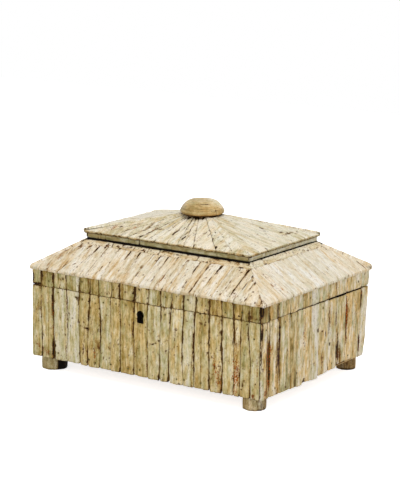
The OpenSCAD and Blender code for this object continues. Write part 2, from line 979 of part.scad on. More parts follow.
// Band of antler around the neck
module neck_band() {
    color("darkkhaki")
        intersection() {
            difference() {
                translate([-crown_w / 2, -crown_d / 2, fillet_top])
                    cube([crown_w, crown_d, neck_h + crown_rise]);
                translate([-block_x, -block_y, 0]) cube([2 * block_x, 2 * block_y, 2 * apex_z]);
            }
            under_crown(crown_t);
            for (side = [0:3]) {
                ends = side % 2 == 1;
                half = (ends ? crown_d : crown_w) / 2;
                depth = (ends ? crown_w : crown_d) / 2;
                intersection() {
                    on_side(side)
                        roof_share(depth, depth - crown_t, half - strip_gap / 2,
                                   half - crown_t - strip_gap / 2);
                    on_side(side)
                        piece_blocks(ends ? border_end_widths : border_front_widths, 2 * half);
                }
            }
        }
}

// Tapering strips of one slope of the crown, which all run to the middle
module crown_strips(side) {
    ends = side % 2 == 1;
    widths = side == LEFT ? reversed(crown_end_widths)
           : side == BACK ? reversed(crown_front_widths)
           : ends ? crown_end_widths : crown_front_widths;
    depth = ends ? crown_tip_x : crown_tip_y;
    length = 2 * (ends ? crown_tip_y : crown_tip_x);
    inner = 0.08;
    color("cornsilk")
        intersection() {
            difference() {
                under_crown(0);
                under_crown(crown_t);
            }
            translate([-crown_tip_x, -crown_tip_y, 0]) cube([2 * crown_tip_x, 2 * crown_tip_y, seat_z]);
            on_side(side)
                for (i = [0:len(widths) - 1]) {
                    left = edge_at(widths, i, length);
                    right = edge_at(widths, i + 1, length);
                    linear_extrude(2 * apex_z)
                        polygon([
                            [left + strip_gap / 2, -depth], [right - strip_gap / 2, -depth],
                            [right * inner - strip_gap / 4, -depth * inner],
                            [left * inner + strip_gap / 4, -depth * inner]
                        ]);
                }
        }
}

module crown_veneer_front() {
    crown_strips(FRONT);
}

module crown_veneer_back() {
    crown_strips(BACK);
}

module crown_veneer_left() {
    crown_strips(LEFT);
}

module crown_veneer_right() {
    crown_strips(RIGHT);
}

// Half outline of the knob: a low dome with a small cap set on it
module knob_profile() {
    dome = knob_h * 0.62;
    cap = knob_h / 4;
    cap_r = knob_r * 0.69;
    intersection() {
        square([knob_r, knob_h]);
        union() {
            translate([knob_r - dome, knob_h * 0.2]) circle(dome, $fn = 96);
            square([knob_r - dome, knob_h * 0.82]);
            translate([cap_r - cap, knob_h - cap]) circle(cap);
            square([cap_r - cap, knob_h]);
        }
    }
}

// Burr of an antler, with furrows of uneven depth around its rim
module knob() {
    furrows = 17;
    cutter = knob_r * 0.14;
    color("peru")
        difference() {
            translate([0, 0, seat_z]) rotate_extrude() knob_profile();
            for (i = [0:furrows - 1]) {
                depth = furrow * (0.55 + 0.45 * sin(i * 137));
                rotate([0, 0, (i + 0.25 * sin(i * 97)) * 360 / furrows])
                    translate([knob_r + cutter - depth, 0, seat_z - 1])
                        cylinder(h = knob_h + 2, r = cutter);
            }
            knob_screw_place() screw_hole(knob_screw_length, knob_screw_r, knob_head_r);
        }
}

module knob_screw() {
    color("slategray") knob_screw_place() screw(knob_screw_length, knob_screw_r, knob_head_r);
}

// Places of the link plate's screws, outside the links
module at_link_screws() {
    for (x = [-1, 1])
        translate([lock_x + x * (link_x + 5.5), lock_y, lid_low]) mirror([0, 0, 1]) children();
}

// Plate let into the lid's front rail, with two links that the bolt goes through
module link_plate() {
    color("goldenrod")
        difference() {
            at_lock() {
                translate([-plate_half, -plate_d / 2, lid_low]) cube([2 * plate_half, plate_d, plate_t]);
                for (x = [-link_x, link_x])
                    difference() {
                        translate([x - link_w / 2, -link_t / 2, link_low])
                            cube([link_w, link_t, link_h]);
                        translate([x - link_w, -eye_t / 2, tongue_low - 0.5])
                            cube([2 * link_w, eye_t, tongue_h + 1]);
                    }
            }
            at_link_screws() screw_hole(hinge_screw, screw_r, head_r);
        }
}

module link_screws() {
    color("goldenrod") at_link_screws() screw(hinge_screw, screw_r, head_r);
}

base_board();
front_wall();
back_wall();
left_wall();
right_wall();
front_veneer();
back_veneer();
left_veneer();
right_veneer();
foot_front_left();
foot_front_right();
foot_back_left();
foot_back_right();
foot_screws();
lock_case();
lock_cap();
lock_pin();
bolt_spring();
lock_screws();
lock_bolt();
hinge_leaf_box_left();
hinge_leaf_box_right();
hinge_pin_left();
hinge_pin_right();
hinge_screws_box();
rail_front();
rail_back();
rail_left();
rail_right();
rail_veneer_front();
rail_veneer_back();
rail_veneer_left();
rail_veneer_right();
slope_board_front();
slope_board_back();
slope_board_left();
slope_board_right();
top_board();
roof_veneer_front();
roof_veneer_back();
roof_veneer_left();
roof_veneer_right();
ledge_border();
neck_fillet();
crown_block();
neck_band();
crown_veneer_front();
crown_veneer_back();
crown_veneer_left();
crown_veneer_right();
knob();
knob_screw();
link_plate();
link_screws();
hinge_leaf_lid_left();
hinge_leaf_lid_right();
hinge_screws_lid();
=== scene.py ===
import math

import bpy
import numpy as np
from mathutils import Matrix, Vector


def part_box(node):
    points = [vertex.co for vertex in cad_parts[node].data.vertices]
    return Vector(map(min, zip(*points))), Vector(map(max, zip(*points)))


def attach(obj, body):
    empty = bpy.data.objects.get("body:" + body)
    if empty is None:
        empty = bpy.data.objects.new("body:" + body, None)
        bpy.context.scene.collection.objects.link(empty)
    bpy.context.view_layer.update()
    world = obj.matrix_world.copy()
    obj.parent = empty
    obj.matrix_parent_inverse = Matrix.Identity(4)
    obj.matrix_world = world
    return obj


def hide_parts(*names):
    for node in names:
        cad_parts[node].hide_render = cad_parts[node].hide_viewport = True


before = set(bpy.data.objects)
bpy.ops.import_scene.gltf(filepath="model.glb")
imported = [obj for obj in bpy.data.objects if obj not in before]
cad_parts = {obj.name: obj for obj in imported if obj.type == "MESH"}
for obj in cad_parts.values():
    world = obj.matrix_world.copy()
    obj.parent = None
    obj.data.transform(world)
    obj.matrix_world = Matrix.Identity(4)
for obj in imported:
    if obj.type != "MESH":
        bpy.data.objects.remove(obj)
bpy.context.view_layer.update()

# Casket veneered with strips of stag antler. Sizes are in millimetres and come from the CAD
# parts. They are turned to metres where a mesh is made.
MM = 0.001


def measure(node, corner, axis):
    """Where a CAD part ends: corner 0 is its lowest and 1 its highest, axis 0 to 2 is x, y or z."""
    return round(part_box(node)[corner][axis] / MM, 3)


CASE_X, CASE_Y = measure("front_veneer", 1, 0), -measure("front_veneer", 0, 1)
FOOT_H, BOX_TOP = measure("front_veneer", 0, 2), measure("front_veneer", 1, 2)
LID_LOW, RAIL_TOP = measure("rail_veneer_front", 0, 2), measure("rail_veneer_front", 1, 2)
TIP_X, TIP_Y = measure("roof_veneer_right", 1, 0), -measure("roof_veneer_front", 0, 1)
NECK_X, NECK_Y = measure("neck_fillet", 1, 0), -measure("neck_fillet", 0, 1)
NECK_Z = measure("neck_fillet", 0, 2)
BAND_X, BAND_Y = measure("neck_band", 1, 0), -measure("neck_band", 0, 1)
BAND_LOW, BAND_TOP = measure("neck_band", 0, 2), measure("neck_band", 1, 2)
CROWN_X, CROWN_Y = measure("crown_veneer_right", 1, 0), -measure("crown_veneer_front", 0, 1)
SEAT_Z, KNOB_TOP, KNOB_R = measure("knob", 0, 2), measure("knob", 1, 2), measure("knob", 1, 0)
KEY_X = (measure("lock_pin", 0, 0) + measure("lock_pin", 1, 0)) / 2
KEY_Z = (measure("lock_pin", 0, 2) + measure("lock_pin", 1, 2)) / 2
EAVE_Z = 112.0                # tip of the lower eave
CROWN_Z, CROWN_RISE = 150.0, 24.4   # the crown's eave, and how far it rises to the middle
BORDER_W, BORDER_PROUD = 5.0, 0.5   # border along the top of the lower roof, in plan
KEY_R, KEY_WAIST, KEY_FOOT, KEY_LOW = 4.6, 7.4, 8.8, 8.9     # in the strips, worn wider than in the wood
STRIP_DEEP = 2.6              # how deep the side of a strip is drawn
BED_DEEP = 1.5                # depth of the mastic between the strips
CORNER = 2.0                  # what the end strips show of their thickness at a corner
WALL_DEEP = CASE_Y + measure("front_wall", 0, 1)   # from the face of the strips to the wood
KEY_DEEP = CASE_Y + measure("lock_case", 0, 1)     # and to the lock
LEFT_OUT = 2.7                # how far the left wall has moved out at the front
TUCKED = 0.8                  # how far the strips of the lid's rail reach up under the eave


# Even noise from whole numbers, the same on every run

def scatter(n):
    """Numbers from 0 to 1 that look random, one for each whole number."""
    x = (np.asarray(n).astype(np.int64) & 0x7FFFFFFF).astype(np.uint64)
    mask = np.uint64(0xFFFFFFFF)
    x = (x * np.uint64(2654435761) + np.uint64(1013904223)) & mask
    x ^= x >> np.uint64(15)
    x = (x * np.uint64(2246822519)) & mask
    x ^= x >> np.uint64(13)
    x = (x * np.uint64(3266489917)) & mask
    x ^= x >> np.uint64(16)
    return x.astype(float) / 4294967295.0


def draw(n):
    """One such number."""
    return float(scatter(n))


def sway(t, size, seed):
    """Smooth noise from -1 to 1 along a line, with a bend about every size mm."""
    t = np.asarray(t, float) / size + 97.0
    i = np.floor(t).astype(np.int64)
    f = t - i
    f = f * f * (3 - 2 * f)
    a, b = scatter(i + 7919 * seed), scatter(i + 1 + 7919 * seed)
    return 2 * (a + (b - a) * f) - 1


def mottle(s, t, size_s, size_t, seed):
    """Smooth noise from -1 to 1 over a face, with patches of size_s by size_t mm."""
    s, t = np.asarray(s, float) / size_s + 97.0, np.asarray(t, float) / size_t + 97.0
    i, j = np.floor(s).astype(np.int64), np.floor(t).astype(np.int64)
    f, g = s - i, t - j
    f, g = f * f * (3 - 2 * f), g * g * (3 - 2 * g)
    key = i * 1009 + j * 9176 + 7919 * seed
    low = scatter(key) * (1 - f) + scatter(key + 1009) * f
    high = scatter(key + 9176) * (1 - f) + scatter(key + 10185) * f
    return 2 * (low * (1 - g) + high * g) - 1


def bell(x, width):
    """1 at x = 0, falling to nearly 0 at twice the width on both sides."""
    return np.exp(-(x / width) ** 2)


def rising(x):
    """0 below 0, 1 above 1 and smooth between."""
    x = np.clip(x, 0, 1)
    return x * x * (3 - 2 * x)


# Faces of the casket: place(s, t, deep) gives a point, s to the right and t up the face

def round_side(side, s, u, z):
    """A point at s along a side and u from the middle, turned to one of the four sides."""
    x, y = ((s, -u), (u, s), (-s, u), (-u, -s))[side]
    return np.stack(np.broadcast_arrays(x, y, z), axis=-1)


def moved_out(side, s, t):
    """How far a wall stands out of true: the left wall at its front, the right wall at its back."""
    if side == 3:
        return LEFT_OUT * rising((s - 10) / 80) + 0 * t
    if side == 1:
        return rising((s - 45) / 60) * np.interp(t, (12, 45, 78, 110), (-0.9, -0.3, 0.8, 2.3))
    return 0 * s


def upright(side, half):
    """An upright face, half the box's width or depth from the middle."""
    def place(s, t, deep):
        return round_side(side, s, half - deep + moved_out(side, s, t), t)
    return place


def slope_path(t, tip, eave, rise):
    """Point and outward direction, seen from the end, t mm up a slope or down its end."""
    angle = math.atan(rise)
    up = np.maximum(t, 0)
    u = tip - up * math.cos(angle)
    z = eave + np.minimum(t, 0) + up * math.sin(angle)
    turn = np.clip(t / 2.4 + 0.5, 0, 1)
    nu, nz = 1 - turn * (1 - math.sin(angle)), turn * math.cos(angle)
    size = np.hypot(nu, nz)
    return u, z, nu / size, nz / size


def sloping(side, tip, eave, rise, lift):
    """A sloping face. lift(s, t) is how far its strips lie above the solid ones."""
    def place(s, t, deep):
        u, z, nu, nz = slope_path(t, tip, eave, rise)
        return round_side(side, s, u - deep * nu, z + lift(s, t) - deep * nz)
    return place


def keyhole(s, t):
    """Distance from the keyhole's outline, below 0 inside it: a round head on a flared foot."""
    head = np.hypot(s - KEY_X, t - KEY_Z) - KEY_R
    down = np.clip((KEY_Z - t) / KEY_LOW, 0, 1)
    half = (KEY_WAIST + (KEY_FOOT - KEY_WAIST) * down) / 2
    foot = np.maximum(np.abs(s - KEY_X) - half, np.maximum(KEY_Z - KEY_LOW - t, t - KEY_Z))
    return np.minimum(head, foot)


# Meshes

class Sheet:
    """Vertices, faces and what the shader reads, gathered for one piece."""

    def __init__(self):
        self.points, self.grain, self.tone, self.cast, self.faces, self.finish = [], [], [], [], [], []
        self.count = 0

    def add(self, points, grain=(0, 0, 0), tone=(0, 0, 0), cast=0.5):
        """Adds vertices and gives the number of the first."""
        n = len(points)
        self.points.append(points)
        self.grain.append(np.broadcast_to(grain, (n, 3)))
        self.tone.append(np.broadcast_to(tone, (n, 3)))
        self.cast.append(np.broadcast_to(cast, (n,)))
        self.count += n
        return self.count - n

    def face(self, faces, finish=0):
        """Adds faces that have the same material."""
        self.faces.extend(faces)
        self.finish.extend([finish] * len(faces))


def new_object(name, data):
    """Puts a mesh, a lamp or a camera into the scene."""
    made = bpy.data.objects.new(name, data)
    bpy.context.scene.collection.objects.link(made)
    return made


def make_piece(name, sheet, body, materials, nodes=()):
    """Makes a piece that rides on a body and takes the place of CAD parts."""
    mesh = bpy.data.meshes.new(name)
    points = np.concatenate(sheet.points) * MM
    mesh.from_pydata(points.tolist(), [], [list(map(int, f)) for f in sheet.faces])
    for title, rows in (("grain", sheet.grain), ("tone", sheet.tone)):
        layer = mesh.attributes.new(title, "FLOAT_VECTOR", "POINT")
        layer.data.foreach_set("vector", np.concatenate(rows).astype(np.float32).ravel())
    layer = mesh.attributes.new("cast", "FLOAT", "POINT")
    layer.data.foreach_set("value", np.concatenate(sheet.cast).astype(np.float32))
    for material in materials:
        mesh.materials.append(material)
    mesh.polygons.foreach_set("material_index", sheet.finish)
    mesh.polygons.foreach_set("use_smooth", [True] * len(mesh.polygons))
    mesh.update()
    piece = new_object(name, mesh)
    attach(piece, body)
    if nodes:
        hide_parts(*nodes)
    return piece


def table(*columns):
    """Arrays and numbers as the columns of one table, with a row for each vertex."""
    return np.stack(np.broadcast_arrays(*columns), axis=-1).reshape(-1, len(columns))


def full_turn(n):
    """n angles, once round."""
    return np.arange(n) * 2 * math.pi / n


def ring_faces(outer, inner):
    """Quads between two rings of vertices, given by their numbers."""
    return np.stack([np.roll(outer, -1), outer, inner, np.roll(inner, -1)], axis=1).tolist()


def grid_faces(start, rows, columns):
    """Quads of a grid whose first vertex is start, facing out."""
    i, j = np.meshgrid(np.arange(rows), np.arange(columns), indexing="ij")
    a = (start + i * (columns + 1) + j).ravel()
    return np.stack([a, a + 1, a + columns + 2, a + columns + 1], axis=1)


def border_of(rows, columns):
    """Numbers of the outer vertices of a grid, once round, anticlockwise from outside."""
    n = columns + 1
    return np.concatenate([
        np.arange(columns), np.arange(rows) * n + columns,
        rows * n + np.arange(columns, 0, -1), np.arange(rows, 0, -1) * n])


def joint(low, high, span, seed, gap, bend, heights=None, shifts=None):
    """A joint between two strips, from s = low at t = 0 to s = high at t = span.

    It gives its middle and half its gap at heights t. gap is one width, or a width for each of
    the heights given, and shifts are where the joint is seen to wander at those heights."""
    def line(t):
        x = low + (high - low) * t / span + bend * (
            0.85 * sway(t, 52, seed) + 0.42 * sway(t, 17, seed + 1) + 0.2 * sway(t, 5.5, seed + 2))
        wide = np.interp(t, heights, gap) if heights else gap
        if shifts:
            x = x + np.interp(t, heights, shifts)
        half = wide / 2 * (0.95 + 0.3 * sway(t, 17, seed + 3) + 0.35 * sway(t, 5, seed + 4))
        return x, np.maximum(half, 0.04)
    return line


def straight(value, lean=None):
    """A straight edge at one place, or one that leans, with hardly any gap."""
    def line(t):
        level = 0 * np.asarray(t, float)
        return value + (lean(t) if lean else 0) + level, 0.05 + level
    return line


def spread(n, share):
    """n + 1 places from 0 to 1, closer together near both ends."""
    x = np.linspace(0, 1, n + 1)
    return (1 - share) * x + share * (0.5 - 0.5 * np.cos(math.pi * x))


def flutes(s, t, s0, s1, seed):
    """Grooves that come and go up a strip's face, one for about every 5 mm of its width."""
    depth = np.zeros_like(s)
    for k in range(max(1, int((s1 - s0) / 5))):
        start = s0 + (s1 - s0) * (0.12 + 0.76 * draw(seed * 13 + k))
        middle = start + 0.8 * sway(t, 33, seed + 40 + k)
        power = np.maximum(0, 0.35 + sway(t, 30, seed + 60 + k))
        depth += power * bell(s - middle, 0.55 + 0.5 * draw(seed * 17 + k))
    return depth


def put_marks(marks, s, t, s0, s1, uneven, tone, sink):
    """Adds the marks that reach a strip from s0 to s1 to its tone and to how deep it lies."""
    for ms, mt, wide, high, *paler_browner_pithier, deeper in marks:
        if s0 - 4 * wide - 3 < ms < s1 + 4 * wide + 3:
            share = uneven * np.exp(-((s - ms) / wide) ** 2 - ((t - mt) / high) ** 2)
            tone += share[..., None] * np.array(paler_browner_pithier)
            sink += share * deeper


def strip(sheet, place, left, right, low, high, seed, pale, cast, edge, ends, cell, fill, stain=0.0,
          pith=0.0, lip=0.0, wear=1.0, marks=(), lengthwise=True, bow=0.5, deep=STRIP_DEEP, inside=0.8,
          lively=1.0, hole=None, worn_tip=0.0):
    """One antler strip between two joints, from t = low to t = high, with a worn, fluted face.

    pale, stain, pith and cast are what the shader gets. edge is how brown the edges are, ends how
    brown the two ends are, and lip how much darker it is below t = 0. cell is the size of a face of
    the mesh. fill, from 0 to 1, is how far its joints are filled and smoothed over, wear how worn
    it is and bow how round. inside is how dark its hidden sides are, and lively how much its colour
    varies. worn_tip is how far its face is worn back at the eave, where t = 0."""
    middle = np.array([(low + high) / 2])
    s0, s1 = float(left(middle)[0][0]), float(right(middle)[0][0])
    columns = max(4, int(round((s1 - s0) / cell[0])))
    rows = max(2, int(round((high - low) / cell[1])))
    u, v = np.meshgrid(spread(columns, 0.4), spread(rows, 0.25))

    # Ragged ends with rounded corners, and chipped edges
    r = 1.6 * (0.4 + scatter(seed + 31))
    near = np.minimum(u, 1 - u) * (s1 - s0)
    corner = r - np.sqrt(np.maximum(r * r - np.maximum(r - near, 0) ** 2, 0))
    ragged = 0.35 * sway(u * (s1 - s0), 3.1, seed + 5)
    t0 = low + wear * (corner * 0.7 * (1 - fill) + ragged)
    t1 = high - wear * (corner * 0.5 * (1 - fill) + 0.15 + 0.15 * sway(u * (s1 - s0), 2.7, seed + 6))
    t = t0 + (t1 - t0) * v
    (xa, ga), (xb, gb) = left(t), right(t)
    chip = wear * 0.35 * (1 - fill)
    a = xa + ga + chip * np.maximum(0, sway(t, 3.4, seed + 7)) ** 2
    b = xb - gb - chip * np.maximum(0, sway(t, 3.9, seed + 8)) ** 2
    b = np.maximum(b, a + 0.2)
    s = a + (b - a) * u
    if hole:
        s, t = shrink_to(hole, s, t)
    side = np.minimum(s - a, b - s)
    end = np.minimum(t - t0, t1 - t)
    across, along = (s - s0, t) if lengthwise else (t, s)

    def noise(wide, long, number):
        return mottle(across, along, wide, long, seed + number)

    # What varies over the face
    ripple = noise(1.5, 27, 9)
    fine = noise(1.1, 8, 10)
    slow = noise(5.0, 42, 11)
    patch = noise(3.2, 8, 16)
    blot = np.maximum(0, noise(2.4, 6, 17) - 0.45) * 1.8
    fleck = np.maximum(0, noise(1.5, 2.4, 19) - 0.6) * 2.5
    flute = flutes(s, t, s0, s1, seed)
    nick = np.maximum(0, sway(t, 4.6, seed + 12) - 0.35) * np.exp(-side / 0.9) * (1 - fill)

    # How far the face lies back
    sink = bow * (2 * u - 1) ** 2 * (1 - 0.7 * fill) + wear * (
        0.13 * (ripple + 1) + 0.05 * (fine + 1) + 0.16 * (slow + 1) + 0.38 * flute + nick)
    sink += wear * (0.4 * (1 - fill) * np.exp(-side / 0.45) + 0.35 * np.exp(-end / 0.5))
    sink += worn_tip * (scatter(seed + 22) + 0.4 * sway(across, 2.6, seed + 23)) * bell(t, 2.6)

    # Brown in from the edges and the ends, and in the grooves. Below t = 0, lip paints the shade under an
    # eave.
    reach = 0.8 + 0.35 * sway(t, 14, seed + 20)
    rim = np.maximum(0, 0.75 + 0.6 * sway(t, 13, seed + 13) + 0.4 * sway(t, 3.4, seed + 18)) * (
        (0.15 + 2.1 * ga) * np.exp(-(s - a) / reach) + (0.15 + 2.1 * gb) * np.exp(-(b - s) / reach))
    end_stain = ends[0] * np.exp(-(t - t0) / 0.7) + ends[1] * np.exp(-(t1 - t) / 0.7)
    tone = np.stack([
        pale + lively * (0.12 * slow + 0.08 * ripple + 0.15 * patch + 0.05 * fine) - 0.10 * flute
        - lip * np.clip(0.6 - t, 0, 1),
        stain + edge * (rim + 0.9 * nick + 0.5 * blot + fleck)
        + (0.2 + 0.5 * edge) * flute * (0.15 + 0.75 * scatter(seed + 14) ** 2)
        + end_stain + 0.15 * lip * np.clip(0.6 - t, 0, 1),
        pith + 0 * s], axis=-1)
    hue = cast + 0.28 * lively * noise(4.2, 19, 21) + 0.35 * blot + 0.25 * flute

    # Marks, and pits where it is spongy
    put_marks(marks, s, t, s0, s1, np.clip(1 + 0.5 * ripple + 0.5 * fine, 0, 1.5), tone, sink)
    pit = np.maximum(0, noise(1.7, 2.2, 15)) * np.clip(tone[..., 2], 0, 1)
    sink += 1.1 * pit
    tone[..., 1] += 0.8 * pit * pit
    sink = np.clip(sink, 0.02, deep - 0.5)

    # The face, and the sides that go back from it and from the edge of a hole. The hole's sides are near
    # black: painted shade.
    tone, hue = tone.reshape(-1, 3), hue.ravel()
    note = table(across, along, seed % 97)
    start = sheet.add(place(s, t, sink).reshape(-1, 3), note, tone, hue)
    faces = grid_faces(start, rows, columns)
    loops = [(border_of(rows, columns), inside)]
    if hole:
        faces, edge_of_hole = cut_faces(faces, start, hole(s, t).ravel())
        loops.append((edge_of_hole, 2.0))
    sheet.face(faces.tolist())
    for ring, dark in loops:
        back = place(s.ravel()[ring], t.ravel()[ring], deep)
        first = sheet.add(back, note[ring], tone[ring] + np.array([0, dark, 0]), hue[ring])
        sheet.face(ring_faces(start + ring, first + np.arange(len(ring))))


def shrink_to(hole, s, t):
    """Moves the grid's points just inside a hole's outline onto it, so that the cut is smooth."""
    step = 0.01
    inside = hole(s, t) < 0
    near = inside & ~(np.roll(inside, 1, 0) & np.roll(inside, -1, 0)
                      & np.roll(inside, 1, 1) & np.roll(inside, -1, 1))
    for _ in range(3):
        d = hole(s, t)
        gs, gt = (hole(s + step, t) - d) / step, (hole(s, t + step) - d) / step
        size = np.maximum(np.hypot(gs, gt), 0.3)
        s = np.where(near, s - d * gs / size ** 2, s)
        t = np.where(near, t - d * gt / size ** 2, t)
    return s, t


def cut_faces(faces, start, distance):
    """Takes out the faces inside a hole and gives the hole's edge, once round, clockwise."""
    gone = distance[faces - start].mean(axis=1) < -0.02
    sides = {(int(f[k]), int(f[(k + 1) % 4])) for f in faces[gone] for k in range(4)}
    onward = {b: a for a, b in sides if (b, a) not in sides}
    ring = [min(onward)]
    while onward[ring[-1]] != ring[0]:
        ring.append(onward[ring[-1]])
    return faces[~gone], np.array(ring) - start


def bed(sheet, place, left, right, low, high, deep=BED_DEEP, finish=1, hole=None):
    """Brown mastic behind the strips of one face."""
    rows = max(2, int((high - low) / 8))
    t = low + (high - low) * np.linspace(0, 1, rows + 1)
    # It stops a little inside the outer strips, so that it never shows past their sides
    a, b = left(t)[0] + 0.7, right(t)[0] - 0.7
    columns = max(2, int(np.max(b - a) / 8))
    s = a[:, None] + (b - a)[:, None] * np.linspace(0, 1, columns + 1)[None, :]
    t = np.broadcast_to(t[:, None], s.shape)
    rough = deep + 0.12 * mottle(s, t, 9, 9, 3)
    start = sheet.add(place(s, t, rough).reshape(-1, 3), table(s, t, 0), (0.2, 1, 0))
    faces = grid_faces(start, rows, columns)
    if hole:
        faces = faces[hole(s, t).ravel()[faces - start].mean(axis=1) > 7]
    sheet.face(faces.tolist(), finish)


# Finishes

def linear(code):
    """An sRGB hex colour as the linear colour that Blender works in."""
    parts = [int(code[i:i + 2], 16) / 255 for i in (1, 3, 5)]
    return tuple(c / 12.92 if c <= 0.04045 else ((c + 0.055) / 1.055) ** 2.4 for c in parts) + (1,)


def set_inputs(node, inputs):
    """Sets a node's inputs to values, or links them to other nodes' outputs."""
    for key, value in inputs.items():
        if isinstance(value, bpy.types.NodeSocket):
            node.id_data.links.new(value, node.inputs[key])
        else:
            node.inputs[key].default_value = value


def add_node(tree, kind, inputs=None, stops=(), out=0, **settings):
    """Adds a node and gives its output out. stops are the places and colours of a ramp."""
    made = tree.nodes.new("ShaderNode" + kind)
    for key, value in settings.items():
        setattr(made, key, value)
    set_inputs(made, inputs or {})
    for k, (at, code) in enumerate(stops):
        ramp = made.color_ramp.elements
        element = ramp[k] if k < 2 else ramp.new(at)
        element.position, element.color = at, linear(code)
    return made.outputs[out]


def new_finish(name):
    """A new material, its nodes and its shader."""
    material = bpy.data.materials.new(name)
    material.use_nodes = True
    return material, material.node_tree, material.node_tree.nodes["Principled BSDF"]


def antler(name, cool, warm, dirt, pith, contrast=1.0, roughness=(0.42, 0.6), shine=0.06):
    """Sawn and scraped stag antler: streaks run along each strip, grooves and edges are brown.

    cool and warm are colours from dark to pale, between which the strip's cast chooses. dirt are
    the browns of the grooves and pith the colours of spongy places. The mesh gives the place on the
    strip in mm (grain), how pale, stained and pithy it is (tone), and the cast. contrast sets how
    much its shade varies, and shine is low because old antler is dusty."""
    material, tree, shader = new_finish(name)
    grain = add_node(tree, "Attribute", out="Vector", attribute_name="grain")
    tone = add_node(tree, "Attribute", out="Vector", attribute_name="tone")
    pale, stain, pithy = add_node(tree, "SeparateXYZ", {0: tone}).node.outputs
    cast = add_node(tree, "Attribute", out="Fac", attribute_name="cast")

    # Noise in patches of so many mm across and along the strip, and its detail. Streaks are a
    # little coarser than the real fibre, so that they show.
    patch_sizes = {"streak": (1.3, 16, 3), "fine": (0.7, 4, 2), "cloud": (6, 26, 2),
                   "patch": (2.8, 5.5, 3), "spot": (1.0, 1.7, 2), "drift": (4.4, 15, 2),
                   "dash": (0.7, 6, 1)}
    noise = {}
    for title, (across, along, detail) in patch_sizes.items():
        scaled = add_node(tree, "VectorMath", {0: grain, 1: (1 / across, 1 / along, 3.7)},
                          operation="MULTIPLY")
        noise[title] = add_node(tree, "TexNoise", {
            "Vector": scaled, "Scale": 1.0, "Detail": detail, "Roughness": 0.6})

    # What the mesh gives, and shares of the noise about its middle
    shares = {"shade": (pale, {"streak": 0.75 * contrast, "cloud": 0.65 * contrast,
                               "patch": 0.8 * contrast, "fine": 0.45}),
              "hue": (cast, {"drift": 1.9, "streak": 0.9}),
              "stained": (stain, {"fine": 0.8, "spot": 0.75, "patch": 0.6}),
              "height": (noise["streak"], {"fine": 0.5, "patch": 0.6})}
    total = {}
    for title, (value, parts) in shares.items():
        for part, share in parts.items():
            off = add_node(tree, "Math", {0: noise[part], 1: 0.5}, operation="SUBTRACT")
            value = add_node(tree, "Math", {0: off, 1: share, 2: value}, operation="MULTIPLY_ADD")
        total[title] = value
    places = (0.0, 0.3, 0.55, 0.8, 1.0)
    cold = add_node(tree, "ValToRGB", {0: total["shade"]}, zip(places, cool))
    tan = add_node(tree, "ValToRGB", {0: total["shade"]}, zip(places, warm))

    # Brown in the grooves, pits where it is spongy, and fine specks
    cover = add_node(tree, "MapRange", {0: total["stained"], 1: 0.12, 2: 0.72},
                     interpolation_type="SMOOTHSTEP")
    brown = add_node(tree, "ValToRGB", {0: total["stained"]}, zip((0.1, 0.5, 0.95), dirt))
    pits = add_node(tree, "Math", {0: pithy, 1: 0.22, 2: noise["spot"]}, operation="MULTIPLY_ADD")
    pits = add_node(tree, "MapRange", {0: pits, 1: 0.6, 2: 0.7})
    where = add_node(tree, "Math", {0: pithy, 1: 3.0}, operation="MULTIPLY", use_clamp=True)
    pits = add_node(tree, "Math", {0: pits, 1: where}, operation="MULTIPLY")
    spongy = add_node(tree, "ValToRGB", {0: noise["fine"]}, zip((0.35, 0.62), pith))
    speck = add_node(tree, "Math", {0: noise["spot"], 1: noise["dash"]}, operation="MAXIMUM")
    speck = add_node(tree, "MapRange", {0: speck, 1: 0.63, 2: 0.73, 4: 0.6})
    colour = cold
    layers = ((total["hue"], tan), (cover, brown), (pits, spongy), (speck, linear(dirt[1])))
    for share, layer in layers:
        colour = add_node(tree, "Mix", {0: share, 6: colour, 7: layer}, out=2, data_type="RGBA")

    gloss = add_node(tree, "MapRange", {0: noise["fine"], 1: 0.3, 2: 0.7, 3: roughness[0],
                                        4: roughness[1]})
    bump = add_node(tree, "Bump", {"Height": total["height"], "Strength": 0.6, "Distance": 0.4 * MM})
    set_inputs(shader, {"Base Color": colour, "Roughness": gloss, "Normal": bump, "IOR": 1.54,
                        "Specular IOR Level": shine})
    return material


def board(name, colours, along, ring_mm, roughness):
    """Planed softwood: growth rings as soft bands along the board, with finer fibre in them."""
    material, tree, shader = new_finish(name)
    where = add_node(tree, "TexCoord", out="Object")
    size = [ring_mm * MM] * 3
    size[along] *= 28
    scaled = add_node(tree, "VectorMath", {0: where, 1: tuple(1 / c for c in size)},
                      operation="MULTIPLY")
    rings = add_node(tree, "TexNoise", {
        "Vector": scaled, "Scale": 1.0, "Detail": 4.0, "Roughness": 0.55, "Distortion": 0.4})
    fine = add_node(tree, "TexNoise", {"Vector": scaled, "Scale": 6.0, "Detail": 2.0})
    colour = add_node(tree, "ValToRGB", {0: rings}, zip((0.3, 0.5, 0.7), colours))
    bump = add_node(tree, "Bump", {"Height": fine, "Strength": 0.35, "Distance": 0.3 * MM})
    set_inputs(shader, {"Base Color": colour, "Roughness": roughness, "Normal": bump, "IOR": 1.5,
                        "Specular IOR Level": 0.06})
    return material


# On a metre of metal: patches of age, 5.6 mm across, and file marks, 17 mm long
PATCHES_PER_M, MARKS_PER_M = 180.0, 60.0


